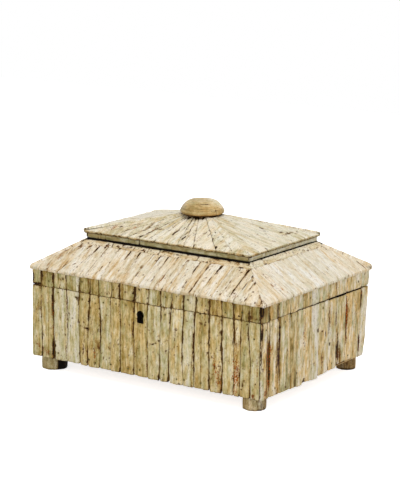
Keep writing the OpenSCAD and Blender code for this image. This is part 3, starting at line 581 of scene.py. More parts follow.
def metal(name, colours, roughness, grain_mm):
    """Metal with fine file marks, grain_mm wide, and darker, duller patches where it has aged."""
    material, tree, shader = new_finish(name)
    where = add_node(tree, "TexCoord", out="Object")
    patch = add_node(tree, "TexNoise", {"Vector": where, "Scale": PATCHES_PER_M, "Detail": 4.0})
    colour = add_node(tree, "ValToRGB", {0: patch}, zip((0.3, 0.5, 0.7), colours))
    gloss = add_node(tree, "MapRange", {0: patch, 1: 0.3, 2: 0.7, 3: roughness[0], 4: roughness[1]})
    across = 1000 / grain_mm
    filed = add_node(tree, "VectorMath", {0: where, 1: (MARKS_PER_M, across, across)},
                     operation="MULTIPLY")
    marks = add_node(tree, "TexNoise", {"Vector": filed, "Scale": 1.0, "Detail": 2.0})
    bump = add_node(tree, "Bump", {"Height": marks, "Strength": 0.3, "Distance": 0.05 * MM})
    set_inputs(shader, {"Base Color": colour, "Roughness": gloss, "Normal": bump, "Metallic": 1.0})
    return material


# Khaki to grey green, streaked with tan, a little greasy from handling
wall_antler = antler(
    "scraped_antler_of_walls", ("#696131", "#958D56", "#BAB183", "#D0C8A6", "#DED6C3"),
    ("#7D622A", "#A98A48", "#CCAF72", "#DFC995", "#ECE0BE"), ("#8F682E", "#5B3610", "#150902"),
    ("#66290A", "#C0722E"), contrast=1.15)
# The ends are drier: greyer and pinker in their pale streaks
end_antler = antler(
    "dry_scraped_antler_of_ends", ("#6C6236", "#968E5E", "#BAB389", "#D2CAAE", "#DFD6C7"),
    ("#835F2A", "#B08A46", "#D2AE71", "#E3CA99", "#EEE1C8"), ("#8F682E", "#5B3610", "#150902"),
    ("#6A2408", "#C96E28"), contrast=1.15)
# Bleached by light: pale cream, with a warm and faintly pink cast in its tan streaks
roof_antler = antler(
    "bleached_antler_of_roof", ("#A79A7B", "#C6BB9C", "#DBD2BA", "#E6DFCE", "#ECE8DE"),
    ("#B38E58", "#D0B081", "#E0CBA6", "#EBDDC5", "#F2E9DB"), ("#B58A4E", "#754F1C", "#281805"),
    ("#8A4E22", "#CF935B"))
# Drier and a little greener than the roof, with more brown in its grooves
crown_antler = antler(
    "dry_antler_of_crown", ("#908663", "#B0A67F", "#CAC19E", "#DBD4B9", "#E7E1D0"),
    ("#9F824F", "#BFA16D", "#D5BD8E", "#E4D2B0", "#EEE2CA"), ("#9E793C", "#634418", "#231606"),
    ("#7D4620", "#C48A52"))
# Spongy inner antler laid along the roof's top edge: tan and rough
border_antler = antler(
    "pithy_antler_of_border", ("#8C7C54", "#B0A074", "#C8BB90", "#DACFAE", "#E6DEC7"),
    ("#926B38", "#B8945C", "#CEB183", "#DDC69D", "#E9DABB"), ("#94652A", "#5A350E", "#190D02"),
    ("#8A5523", "#C98C4C"), roughness=(0.55, 0.75))
# Polished band under the crown: khaki to light grey with a low sheen
band_antler = antler(
    "polished_antler_of_neck", ("#5E5730", "#807848", "#9F9769", "#BCB592", "#D3CFBA"),
    ("#68512A", "#8D7440", "#AA8F58", "#C2AD7E", "#D6C8A4"), ("#6B5428", "#403010", "#150E04"),
    ("#6A421D", "#A97B45"), roughness=(0.3, 0.45), shine=0.15)
# Burr cut from the base of the antler: ochre to olive, dense and half polished
burr_antler = antler(
    "turned_antler_burr", ("#6C5B32", "#907D4D", "#AF9C69", "#C6B788", "#DBD0AD"),
    ("#7C572A", "#A37F46", "#C29D62", "#D5B684", "#E6D1AC"), ("#8A622C", "#533714", "#1D1208"),
    ("#6E431D", "#B9854A"), roughness=(0.34, 0.5), shine=0.15)
# Outer bark of the antler left on the feet: dull brown olive ridges
foot_antler = antler(
    "barked_antler_of_feet", ("#5C5233", "#7E7249", "#9A8C61", "#B3A77F", "#CABFA0"),
    ("#6A4B26", "#8F7040", "#AC8D59", "#C3A877", "#D8C298"), ("#735028", "#3C270E", "#0C0703"),
    ("#5D3414", "#A66D36"), roughness=(0.5, 0.68))
# Planed pine: warm and straight-grained, along the long boards or along the short ones
pine = ("#B98F5C", "#D3AE78", "#E0C393")
pine_long = board("planed_pine_long", pine, 0, 3.0, 0.62)
pine_short = board("planed_pine_short", pine, 1, 3.0, 0.62)
# Pine stained black under the neck, and a quite matt black that paints the shade deep in the gaps and in the
# keyhole
ebonised = board("ebonised_fillet", ("#070301", "#100A05", "#1A1108"), 0, 1.6, 0.7)
shade_black = board("painted_shade_black", ("#050403", "#0B0805", "#120D09"), 1, 1.6, 0.9)
# Mastic pressed between the strips: matt brown, with soft darker bands
mastic = board("brown_mastic", ("#35220C", "#523A16", "#6E5124"), 2, 1.2, 0.85)
# Filed brass of the lock and the hinges, dulled to brown in patches
brass = metal("aged_brass", ("#6E5A34", "#94793F", "#AC8F55"), (0.35, 0.55), 0.4)
# Drawn steel of the spring and of the screws in the feet and the knob: grey, with a soft sheen
steel = metal("drawn_steel", ("#6C6A66", "#8F8D89", "#A3A19C"), (0.3, 0.45), 0.3)
# Iron of the pins, darkened to olive brown
iron = metal("darkened_iron_pins", ("#3A3420", "#57502F", "#7A7048"), (0.4, 0.6), 0.3)

# Upright strips of the box and of the lid's rail

side_names = ("front", "right", "back", "left")
side_half = (CASE_Y, CASE_X, CASE_Y, CASE_X)
# The first and last edge of each side: at a corner the end strips show their own thickness
side_span = ((-CASE_X - LEFT_OUT, CASE_X - CORNER), (-CASE_Y, CASE_Y), (CORNER - CASE_X, CASE_X - CORNER),
             (-CASE_Y, CASE_Y - STRIP_DEEP))

# Strips, from left to right as seen: left edge, paleness, colour cast, brown, and the paleness of
# the same strip on the lid's rail. Then the joint on its left at the joint_heights: how far it
# wanders, and how wide it gapes.
joint_heights = (22, 46, 62, 82, 101)
front_strips = [
    (-145.0, 0.54, 0.36, 0.03, 0.52, (0, 0, 0, 0, 0), (0, 0, 0, 0, 0)),
    (-134.8, 0.58, 0.42, 0.05, 0.34, (0.8, 0.8, -0.4, -1.2, 0.2), (0.5, 0.75, 0.5, 0.2, 1.1)),
    (-118.0, 0.76, 0.13, 0.00, 0.57, (0.6, 0.2, -0.1, -0.8, -0.4), (1.8, 0.7, 0.9, 1.3, 0.8)),
    (-100.6, 0.79, 0.12, 0.00, 0.60, (0.2, 1.2, 1.2, 0.1, -0.6), (0.1, 0.45, 0.45, 0.55, 0.4)),
    (-84.4, 0.52, 0.50, 0.08, 0.27, (1.3, 0.5, 0.0, 0.0, 1.0), (0.5, 0.1, 0.1, 1.1, 0.5)),
    (-70.3, 0.62, 0.66, 0.06, 0.37, (-1.9, -2.0, -0.9, 0.6, 1.0), (0.75, 0.25, 0.45, 1.5, 0.6)),
    (-57.0, 0.63, 0.32, 0.03, 0.53, (0.0, 1.4, 1.7, 0.0, -0.9), (0.15, 0.8, 0.65, 0.5, 0.6)),
    (-42.6, 0.61, 0.66, 0.03, 0.46, (-0.3, 0.6, 0.6, -0.3, 1.6), (0.05, 0.05, 0.05, 0.3, 0.4)),
    (-30.0, 0.49, 0.58, 0.05, 0.45, (0.5, -0.2, 0.2, -0.2, -0.5), (0.7, 0.4, 0.4, 0.3, 0.9)),
    (-11.5, 0.46, 0.66, 0.03, 0.62, (-0.4, -0.2, -1.0, -0.4, 0.0), (0.55, 0.45, 0.3, 0.45, 1.4)),
    (5.4, 0.62, 0.34, 0.03, 0.62, (-0.2, -0.4, -0.5, -0.9, 1.3), (0.1, 0.1, 0.1, 0.75, 0.4)),
    (21.2, 0.62, 0.28, 0.02, 0.48, (-1.0, -0.7, -0.8, 0.2, 0.6), (1.0, 0.35, 0.05, 0.4, 0.5)),
    (33.6, 0.68, 0.50, 0.02, 0.61, (-1.0, -1.7, -0.9, 0.4, 1.8), (1.0, 0.3, 0.1, 0.65, 0.65)),
    (49.0, 0.64, 0.30, 0.00, 0.62, (0.2, -0.6, -0.6, 0.5, 0.7), (0.1, 0.9, 1.5, 1.0, 0.55)),
    (63.3, 0.60, 0.60, 0.03, 0.52, (0.0, 0.0, 0.0, 0.3, 1.7), (0.4, 1.2, 0.8, 0.9, 0.6)),
    (81.8, 0.64, 0.68, 0.05, 0.39, (0.4, -0.7, -1.0, -0.7, -0.2), (0.7, 1.0, 0.6, 1.2, 1.0)),
    (97.2, 0.72, 0.42, 0.00, 0.46, (0.0, 0.2, -0.9, -0.4, -1.1), (0.8, 1.15, 1.1, 0.9, 0.65)),
    (110.6, 0.62, 0.76, 0.08, 0.38, (0.4, 0.3, 0.0, 0.4, -0.1), (0.05, 0.05, 0.05, 1.0, 0.95)),
    (118.2, 0.47, 0.38, 0.05, 0.32, (0.0, 0.4, 0.2, 0.8, 2.0), (0.4, 0.4, 0.45, 0.4, 0.2)),
    (129.5, 0.65, 0.32, 0.02, 0.44, (0.8, 1.6, 0.2, -1.6, -0.8), (0.05, 0.35, 0.4, 0.75, 0.4))]
end_strips = [
    (-107.0, 0.62, 0.42, 0.05, 0.21, (0, 0, 0, 0, 0), (0, 0, 0, 0, 0)),
    (-90.9, 0.65, 0.58, 0.05, 0.57, (-0.4, -1.3, -1.2, 0.4, -1.6), (0.4, 2.0, 2.4, 1.0, 0.6)),
    (-72.8, 0.51, 0.38, 0.04, 0.57, (1.4, 1.2, 0.4, -0.6, -1.8), (0.5, 0.8, 1.0, 0.7, 0.7)),
    (-52.5, 0.47, 0.38, 0.05, 0.63, (1.8, 1.2, 0.6, 0.8, -0.2), (0.3, 0.1, 0.1, 0.2, 0.15)),
    (-37.4, 0.62, 0.30, 0.02, 0.63, (-0.4, -1.0, -0.9, -1.2, 0.2), (0.1, 0.1, 0.15, 0.2, 0.05)),
    (-26.0, 0.71, 0.56, 0.02, 0.57, (0.0, -0.2, -0.1, -1.4, -1.6), (0.1, 0.05, 0.05, 0.15, 0.2)),
    (-8.7, 0.82, 0.16, 0.00, 0.77, (0.4, -0.4, -0.6, -1.4, -1.3), (0.05, 0.05, 0.05, 0.1, 0.15)),
    (3.1, 0.69, 0.38, 0.02, 0.63, (2.0, 1.6, -1.4, 1.4, 1.2), (0.2, 0.05, 0.2, 0.05, 0.2)),
    (24.9, 0.70, 0.52, 0.03, 0.54, (0.6, 1.0, 0.6, 0.4, 0.7), (0.5, 0.5, 0.4, 0.5, 0.3)),
    (41.1, 0.66, 0.48, 0.03, 0.70, (1.8, 0.0, 0.6, 0.9, 0.8), (1.1, 0.8, 0.1, 0.1, 0.1)),
    (61.5, 0.73, 0.78, 0.04, 0.65, (-0.2, 0.1, 0.0, -0.3, 0.6), (0.2, 0.4, 0.6, 0.6, 0.2)),
    (74.1, 0.65, 0.48, 0.05, 0.75, (1.9, 1.4, 1.6, 1.0, -0.5), (0.2, 0.1, 0.1, 0.2, 0.1)),
    (90.8, 0.79, 0.24, 0.02, 0.85, (0.5, -0.4, 0.8, 1.3, 0.0), (0.4, 0.1, 0.1, 1.0, 0.2))]

# Where the strips of each side end at the foot
front_feet = (13.2, 13.0, 13.2, 13.4, 13.0, 12.8, 13.2, 13.0, 12.9, 13.1, 12.6, 12.9, 12.7, 12.9, 12.7, 12.5,
              12.6, 12.6, 13.0, 13.0)
end_feet = (12.8, 13.1, 12.5, 12.2, 11.3, 12.4, 11.3, 13.2, 14.2, 17.4, 16.3, 15.2, 14.6)
strip_feet = (front_feet, end_feet, front_feet, end_feet)


def plain_marks(rows):
    """Marks that are only browner and deeper, from (s, t, half width, half height, browner, deeper)."""
    return [(*row[:4], 0, row[4], 0, row[5]) for row in rows]


# Stains and cracks that show, as (s, t, half width, half height, paler, browner, pithier, deeper)
front_marks = plain_marks([
    (-84, 59, 1.2, 1.5, 0.7, 0.3), (-80.5, 55.4, 2.4, 1, 0.9, 0.4), (-76, 54, 2.4, 0.9, 0.9, 0.4),
    (-72.5, 53.8, 1.8, 0.9, 0.7, 0.3), (-77.6, 32, 1, 9, 0.2, 0.1), (8.6, 49.6, 1.7, 0.8, 0.8, 0.4),
    (12, 50.6, 1.7, 0.8, 0.8, 0.4), (15.2, 52.2, 1.6, 0.8, 0.8, 0.3), (18.8, 54.6, 1.4, 1, 0.8, 0.3),
    (10.8, 57.4, 1.1, 1.1, 0.6, 0.3), (71, 82, 2, 1, 0.65, 0.3), (77, 80.5, 2.2, 1, 0.65, 0.3)]) + [
    (-58.5, 38, 1.2, 5, 0, 0.7, 0.3, 0.3), (-63, 29, 1.2, 9, 0, 0.35, 0.4, 0.1),
    (-79, 30, 1.6, 6, 0, 0.25, 0.2, 0), (4.1, 49, 0.9, 8, -0.1, 0.3, 0, 0.4),
    (88.8, 36, 1.6, 13, -0.1, 0.3, 0.7, 0.2), (93, 27, 2.8, 14, -0.05, 0.3, 0.35, 0.2),
    (96.8, 24, 1.3, 6, 0, 0.3, 0.5, 0.2), (93.4, 83, 1, 8, 0, 0.4, 0.7, 0.2),
    (111.8, 38, 2.5, 27, 0.06, 0.16, 0.6, 0.4), (116, 37, 2.4, 26, 0.06, 0.16, 0.6, 0.4),
    (111.2, 73, 1.2, 8, 0, 0.8, 0.3, 0.3), (122.4, 26, 1.6, 3, -0.3, 0.5, 0, 0.2),
    (133.5, 103, 7, 7, -0.2, 0, 0, 0.3), (130.5, 96.5, 3.6, 1.8, -0.05, 0.3, 0, 0.3),
    (137, 95.8, 3.6, 1.6, -0.05, 0.3, 0, 0.3), (143.4, 104, 1.7, 4.8, -0.8, 5, 0, 2),
    (143.6, 96, 1.1, 4, -0.2, 1, 0, 0.8), (143.8, 70, 0.9, 17, -0.1, 1.1, 0, 0.5),
    (143.8, 22, 0.9, 7, -0.1, 0.8, 0, 0.4), (131, 21, 1.4, 6, 0, 0.8, 0.2, 0.4),
    (134.5, 17, 2.2, 2.2, 0, 0.6, 0.6, 0.2), (139.5, 45, 1.2, 20, -0.1, 0.3, 0.5, 0.2),
    (-140.5, 93, 6, 1.3, -0.4, 1.6, 0, 1.3), (-146.4, 100, 1.7, 4, -0.2, 2.5, 0.2, 1.2),
    (-119.5, 60, 1.6, 30, -0.1, 0.35, 0.35, 0.2), (-128, 20, 6, 3.5, -0.05, 0.25, 0.5, 0.1),
    (-139, 26, 3, 4, -0.1, 0.2, 0.4, 0.1), (-100.9, 70, 1.3, 18, -0.1, 0.35, 0.3, 0.1),
    (-13.5, 60, 1, 22, -0.1, 0.4, 0, 0.1), (4.5, 27, 1.2, 8, 0, 0.5, 0.3, 0.2)]
right_marks = [
    (-92.6, 60, 2.6, 15, 0.05, 0.5, 0.9, 0.4), (-91.4, 56, 1.4, 13, -0.2, 1.1, 0.6, 0.6),
    (-93, 32, 2.5, 11, 0, 0.4, 0.9, 0.3), (-92.4, 38, 1.2, 8, -0.2, 0.9, 0.6, 0.5),
    (-73.3, 66, 1.9, 13, -0.1, 0.7, 0.2, 0.3), (-75, 44, 2.8, 16, -0.1, 0.9, 0.1, 0.4),
    (-98, 104, 6, 7, -0.25, 0.1, 0, 0.2), (-105.8, 104, 1.8, 4.2, -0.8, 3.5, 0, 1.6),
    (62.8, 70, 3, 13, 0, 0.5, 0.9, 0.3), (62.4, 64, 1.5, 10, -0.2, 1.1, 0.3, 0.5),
    (63.2, 44, 1.6, 8, 0, 0.5, 0.4, 0.2), (45.2, 32, 1.8, 9, 0, 1.2, 0.2, 1),
    (44, 50, 1.3, 6, 0, 0.6, 0.2, 0.3), (92.5, 80, 2, 9, -0.2, 1, 0.5, 0.5),
    (92, 32, 1.6, 11, 0, 0.7, 0.3, 0.4), (3.5, 62.5, 1.2, 2.6, 0, 0.9, 0.2, 0.3),
    (11, 60, 2.8, 1.1, 0, 0.8, 0.2, 0.2), (19, 57, 1.2, 2, 0, 0.9, 0.1, 0.3),
    (28, 43, 1.4, 1.8, 0, 1, 0, 0.3), (-77, 99, 1.3, 7, 0, 1, 0.2, 0.3),
    (-24, 65, 1.7, 24, -0.15, 0.2, 0.35, 0), (12, 30, 2.4, 9, -0.1, 0.4, 0.35, 0.2),
    (27, 72, 2.6, 16, -0.05, 0.35, 0.25, 0), (40, 66, 2.2, 14, 0, 0.5, 0.2, 0.1),
    (33, 42, 1.4, 14, -0.05, 0.4, 0.3, 0.1), (-42, 17, 3.2, 8, -0.25, 0.3, 0, 0),
    (-60, 17, 3, 6, -0.3, 0.2, 0, 0.1), (-23, 13, 2.6, 4, 0, 0.8, 0, 2),
    (-98, 19, 5, 4, 0, 0.35, 0.4, 0.1), (-65.5, 52, 3.6, 36, 0.4, -0.1, 0, 0),
    (-82, 50, 1.6, 30, 0.25, -0.1, 0, 0), (-58, 40, 1.8, 24, -0.2, 0.2, 0, 0.2),
    (-47, 60, 1.6, 22, -0.22, 0.1, 0, 0.2), (-33, 48, 1.4, 26, 0.25, -0.1, 0, 0),
    (-14, 40, 1.3, 20, -0.15, 0.25, 0.1, 0.1), (37, 30, 1.4, 18, 0.2, -0.1, 0, 0),
    (53, 60, 1.8, 24, 0.2, 0, 0, 0), (70, 40, 1.6, 20, 0.2, 0, 0, 0),
    (83, 56, 1.7, 24, -0.18, 0.25, 0.1, 0.1), (50, 26, 3.4, 7, -0.1, 0.35, 0.3, 0.1),
    (-105.4, 80, 1.6, 11, -0.3, 1.4, 0, 0.6), (-105.9, 60, 0.7, 14, -0.1, 0.6, 0, 0.2),
    (-77, 62, 1.5, 20, -0.15, 0.5, 0.2, 0.3)]
# Iron pins that hold the strips, where their heads show on the front
front_pins = [
    (-124.2, 98.1), (-105, 103), (-79.8, 103.6), (-4.8, 105.5), (28.2, 102.5), (41.5, 105.2),
    (55.5, 103.7), (66.7, 104.7), (100.7, 97.4), (112.2, 105.5), (120.6, 100.4), (-111.5, 87.5),
    (-88, 85.7), (-79, 84.8), (-62.1, 83), (-51.5, 85.2), (-34.9, 86.2), (-21.9, 86.7), (27.5, 84.1),
    (135.2, 75.4), (-134.1, 18.3), (-111.9, 20.9), (-70.2, 20.4), (-62.2, 18.3), (-41.8, 20),
    (-19, 19.5), (-4.3, 20.5), (26.4, 20.7), (42.4, 18.5), (51.6, 19.3), (72.3, 19.4)]
# The right end has fewer, and the sides that the photograph doesn't show have one at each end of
# every second strip
right_pins = [
    (-99, 84.5), (-63, 85.6), (12, 85), (33, 21), (-80, 20.5), (68, 22), (-15, 101), (84, 100)]

# How far out the outer edge of a side's first (0) or last (1) strip stands. The front's last strip
# stands out low down, and the two strips at the back right corner lean in at the foot.
outer_leans = {(0, 1): lambda t: 1.6 * bell(t - 16, 24) - 0.4,
               (1, 1): lambda t: -4.5 * rising((40 - t) / 28),
               (2, 0): lambda t: 3 * rising((40 - t) / 28)}


def side_table(side):
    """Strips of a side; those that the front and the right end don't show are mixed from them."""
    rows = end_strips if side % 2 else front_strips
    if side < 2:
        return rows
    made = []
    for k, row in enumerate([rows[0]] + rows[:0:-1]):
        draws = scatter(np.arange(14) + 20 * k + 1000 * side)
        pale = 0.45 + 0.3 * draws[0]
        made.append((-row[0] if k else side_span[side][0], pale, 0.2 + 0.6 * draws[1],
                     0.07 * draws[2], pale - 0.15 + 0.15 * draws[3],
                     tuple(2 * draws[4:9] - 1), tuple(0.1 + draws[9:14] ** 2)))
    return made


def pin_places(side):
    """Where the pins of a side go, as (s, t) pairs."""
    if side < 2:
        return (front_pins, right_pins)[side]
    strips = side_table(side)
    middles = [(a[0] + b[0]) / 2 for a, b in zip(strips, strips[1:])]
    return [(s + 2 * sway(s, 3, side), t + 1.5 * float(sway(s, 5, side + 7)))
            for k, s in enumerate(middles[::2]) for t in (20.0, 85.0, 101.0)]


def parting(side, s):
    """How far the parting line gapes, in mm: the lid has warped up along the right end."""
    if side == 0:
        return 0.5 * rising((-133 - s) / 3)
    if side == 1:
        return 0.7 * rising((s + 60) / 35) + 1.4 * bell(s - 46, 22) + 0.4 * rising((s - 50) / 30)
    return 0 * s


def side_joints(side, strips, first):
    """The edges of all strips of an upright side, from left to right."""
    low, high = side_span[side]
    lines = [joint(row[0], row[0], 1, first + 40 * k, row[6], 0.3, joint_heights, row[5])
             for k, row in enumerate(strips[1:], 1)]
    return ([straight(low, outer_leans.get((side, 0)))] + lines
            + [straight(high, outer_leans.get((side, 1)))])


def strip_ends(side, on_lid, k, gape, seed):
    """The lowest and the highest point of a side's strip number k, on the box or on the lid."""
    step = 0.8 * (draw(seed + 1) - 0.5)
    if on_lid:
        return LID_LOW + step + 0.4 * gape, RAIL_TOP + TUCKED
    return strip_feet[side][k] + 0.5 * draw(seed + 3), BOX_TOP + step - 0.6 * gape


def lay_upright(side, on_lid):
    """The strips of one side and their mastic, on the box or on the rail of the lid."""
    sheet = Sheet()
    front, shown = side == 0, side < 2
    first = 4000 * (side + 1)
    strips = side_table(side)
    edges = [row[0] for row in strips] + [side_span[side][1]]
    lines = side_joints(side, strips, first)
    place = upright(side, side_half[side])
    pin_stains = [(s, t, 1.7, 1.7, -0.25, 0.25, 0, 0.15) for s, t in pin_places(side)]
    for k, (edge, pale, cast, brown, rail_pale, *_) in enumerate(strips):
        seed = first + 100 * k
        gape = parting(side, (edge + edges[k + 1]) / 2)
        keyed = front and not on_lid and edge < KEY_X < edges[k + 1]
        # At the left and the back corners an end strip shows its own side, which is clean
        cornered = k == 0 and side != 1 or k == len(strips) - 1 and not front
        strip(sheet, place, lines[k], lines[k + 1], *strip_ends(side, on_lid, k, gape, seed),
              seed + 50 * on_lid, pale=rail_pale if on_lid else pale, stain=brown + 0.05 * on_lid,
              cast=cast, edge=0.65 if front else 0.5, fill=0.0 if front else 0.3,
              ends=(0.1, 0.15) if side == 1 else (0.25, 0.35) if on_lid else (0.35, 0.28),
              cell=(0.6, 0.7) if keyed else (0.95, 1.4) if shown else (1.9, 3.6),
              marks=(front_marks, right_marks, [], [])[side] + pin_stains,
              lively=1.1 if front else 1.5, inside=0.1 if cornered else 0.8,
              hole=keyhole if keyed else None)
    low, high = (LID_LOW, RAIL_TOP + TUCKED) if on_lid else (FOOT_H, BOX_TOP)
    # The warped right end opens onto a gap at the parting line, so its mastic stops short of it, and a black
    # sheet there paints the gap's shade
    gap_dark = 2.0 if side == 1 else 0.0
    bed_low, bed_high = (low + gap_dark, high) if on_lid else (low + 2.0, high - gap_dark)
    bed(sheet, place, lines[0], lines[-1], bed_low, bed_high,
        hole=keyhole if front and not on_lid else None)
    if gap_dark:
        dark_low, dark_high = (low, bed_low) if on_lid else (bed_high, high)
        bed(sheet, place, lines[0], lines[-1], dark_low, dark_high, deep=2.2, finish=2)
    return sheet


def build_upright(side):
    """Strips of one side, on the box and on the rail of the lid."""
    name = side_names[side]
    finishes = [end_antler if side % 2 else wall_antler, mastic, shade_black]
    make_piece("strips_" + name, lay_upright(side, False), "box", finishes,
               [name + "_veneer"])
    make_piece("rail_strips_" + name, lay_upright(side, True), "lid", finishes,
               ["rail_veneer_" + name])


for side in range(4):
    build_upright(side)

# Iron pins and the keyhole

PIN_SIDES, KEY_SIDES = 12, 60      # vertices round the head of a pin and round the keyhole


def pin_heads(name, body, low, high):
    """Low domed heads, 1.8 mm across, between two heights on all four sides."""
    sheet = Sheet()
    profile = [(0.9, 0.55), (0.9, 0.12), (0.62, -0.06), (0.25, -0.13)]
    turn = full_turn(PIN_SIDES)
    for side in range(4):
        place = upright(side, side_half[side])
        for s, t in pin_places(side):
            if low < t < high:
                rings = [np.arange(PIN_SIDES) + sheet.add(
                    place(s + radius * np.cos(turn), t + radius * np.sin(turn), deep + 0.25))
                    for radius, deep in profile]
                for lower, upper in zip(rings, rings[1:]):
                    sheet.face(ring_faces(upper, lower))
                sheet.face([rings[-1].tolist()])
    make_piece(name, sheet, body, [iron])


pin_heads("veneer_pins_box", "box", 0, BOX_TOP)
pin_heads("veneer_pins_lid", "lid", LID_LOW, EAVE_Z)


def line_keyhole():
    """The walls of the keyhole between the strips and the lock, black as painted shade."""
    turn = full_turn(KEY_SIDES)
    middle = KEY_Z - KEY_LOW / 4
    near, far = np.zeros(KEY_SIDES), np.full(KEY_SIDES, 2 * KEY_LOW)
    for _ in range(20):
        reach = (near + far) / 2
        outside = keyhole(KEY_X + reach * np.cos(turn), middle + reach * np.sin(turn)) > 0
        near, far = np.where(outside, near, reach), np.where(outside, reach, far)
    place = upright(0, CASE_Y)
    sheet = Sheet()
    # It narrows where it meets the wood, because the hole in the strips is worn wider
    wood = WALL_DEEP - 0.05
    for size, deep in ((0.98, 0.7), (0.98, wood), (0.7, wood), (0.7, KEY_DEEP)):
        s, t = KEY_X + near * size * np.cos(turn), middle + near * size * np.sin(turn)
        ring = np.arange(KEY_SIDES) + sheet.add(place(s, t, deep))
        if sheet.count > KEY_SIDES:
            sheet.face(ring_faces(ring - KEY_SIDES, ring))
    make_piece("keyhole_lining", sheet, "box", [shade_black])


line_keyhole()

# Sloping strips of the lower roof

# Joints on the front, as (s at the eave, s at roof_high mm up the slope), from left to right
roof_high = 44.0
HIP_STEP = 2.3                # how far the back's and the left's strips stand above the others at a hip
roof_front_joints = [
    (-134.3, -118.1), (-122, -105.5), (-109.6, -92.2), (-93.5, -82.2), (-74.2, -71), (-52.7, -56.9),
    (-36.9, -41), (-27.5, -28.8), (-16.5, -11.4), (-4.5, -2.5), (9, 6.9), (16.5, 19.5), (30, 31),
    (47, 48), (58.9, 59.4), (69, 74.4), (84.8, 86.2), (94, 96), (104.4, 106.7), (111.3, 116.3),
    (124.5, 118), (139, 124)]
roof_end_joints = [
    (-97, -88), (-89, -70.2), (-72, -66), (-56, -55.5), (-44, -40.5), (-31.5, -30), (-21.4, -18.6),
    (-5, -4), (8.5, 14.5), (25, 24), (41, 39.5), (58, 57.5), (72, 70), (86, 82), (98, 90)]
roof_front_marks = plain_marks([
    (7, 40, 0.8, 5, 0.9, 0.4), (7.1, 30, 0.7, 4, 0.7, 0.3), (-28.8, 42, 0.8, 3.5, 0.9, 0.4),
    (-40.5, 41, 0.8, 4, 0.9, 0.4), (-41.3, 34, 0.7, 4, 0.7, 0.3), (-82.6, 38, 0.8, 5, 0.8, 0.3),
    (-94.8, 41.7, 0.9, 1.6, 0.9, 0.3), (-74.3, 43.7, 1.2, 1.2, 1, 0.4), (74.2, 42, 0.9, 3, 1.3, 0.6),
    (73, 36, 0.8, 5, 0.8, 0.4), (71, 24, 0.6, 4, 0.7, 0.3), (59, 38, 0.8, 5, 0.9, 0.4),
    (58.6, 28, 0.6, 3, 0.7, 0.3), (58.5, 15, 0.7, 6, 0.8, 0.3), (58.3, 4, 0.8, 3, 0.8, 0.4),
    (106.5, 38, 0.7, 5, 0.8, 0.3), (105.5, 25, 0.7, 8, 0.8, 0.3), (104.8, 12, 0.7, 6, 0.8, 0.3),
    (113.5, 20, 0.6, 6, 0.7, 0.3), (111.5, 3, 0.6, 4, 0.8, 0.3), (121, 22, 0.7, 3, 0.7, 0.3),
    (123.8, 4, 0.7, 3, 0.8, 0.4), (46.7, 32, 0.7, 4, 0.6, 0.2), (46.5, 14, 0.6, 6, 0.7, 0.3),
    (-97.6, 25.7, 0.9, 1.4, 0.8, 0.2), (-14.6, 11.6, 0.9, 1.2, 0.8, 0.2),
    (95, 15.3, 0.9, 1.2, 0.8, 0.2), (88.3, 8.6, 0.8, 1, 0.7, 0.2), (92.8, 5.9, 0.8, 1, 0.7, 0.2),
    (126.7, 15.4, 1, 1, 0.9, 0.3), (136, 2.2, 1, 1, 0.9, 0.3), (118.1, 29.8, 1, 1, 0.9, 0.3),
    (137.8, 9.6, 1, 1, 0.8, 0.3)]) + [
    (-73, 11, 1, 9, 0, 0.35, 0.2, 0.1), (-127, 9, 1.4, 7, -0.1, 0.4, 0.5, 0.3),
    (-121, 22, 1.6, 8, -0.1, 0.5, 0.5, 0.3), (-112, 31, 1.2, 6, -0.1, 0.5, 0.4, 0.3),
    (-104, 40, 1.6, 4, -0.1, 0.6, 0.3, 0.3), (-118, 34, 1.2, 3, 0, 0.5, 0.6, 0.2),
    (-131, 14, 1, 3, 0, 0.5, 0.3, 0.2), (-90, 33, 1.2, 6, -0.1, 0.4, 0.4, 0.2),
    (-15.5, 20, 1, 11, -0.1, 0.3, 0.2, 0.1), (17.5, 14, 1.2, 9, -0.1, 0.35, 0.6, 0.2),
    (142.5, 3, 1, 5, -0.1, 0.9, 0, 0.3), (115.6, 36, 1, 2.2, -0.1, 1, 0, 0.3),
    (122.4, 28, 1, 3, -0.1, 1.1, 0, 0.3), (-11, 40, 5, 8, 0.25, -0.3, -0.2, 0)]
roof_right_marks = plain_marks([
    (-31.1, 29.4, 1, 3, 0.5, 0.1), (-40.5, 26, 0.9, 3, 0.5, 0.1), (24.8, 11.9, 1, 2.4, 0.5, 0.1),
    (36.9, 16.8, 1, 2.4, 0.5, 0.1), (66.2, 46.5, 1, 1, 0.9, 0.3), (81.7, 35.1, 1, 1, 0.9, 0.3),
    (51, -1.8, 1, 1, 0.9, 0.3), (-8.9, -1.8, 1, 1, 0.9, 0.3), (-11.7, 46, 1, 1, 0.9, 0.3),
    (-5.2, 46, 1, 1, 0.9, 0.3)]) + [
    (-67.8, 19.9, 1.3, 2.6, -0.1, 0.5, 0.8, 0.2), (-59.8, 11.7, 1.3, 2.4, -0.1, 0.5, 0.8, 0.2),
    (-56.9, 5, 1.2, 2, -0.1, 0.4, 0.8, 0.2), (97.2, 5, 0.8, 3.5, 0, 0.9, 0.4, 0.3),
    (96, 11, 0.8, 4, 0, 0.8, 0.4, 0.3), (101, 9, 2.2, 7, -0.1, 0.1, 0.5, 0),
    (-104.5, 3, 1.2, 5, -0.1, 0.8, 0, 0.3)]


def roof_slope(side):
    """How far a slope's tip and neck are out, the same for the slopes beside it, its rise, and how
    much its hips lean."""
    tip, neck, far_tip, far_neck = TIP_Y, NECK_Y, TIP_X, NECK_X
    if side % 2:
        tip, neck, far_tip, far_neck = far_tip, far_neck, tip, neck
    return (tip, neck, far_tip, far_neck,
            (NECK_Z - EAVE_Z) / (tip - neck), (far_tip - far_neck) / (tip - neck))


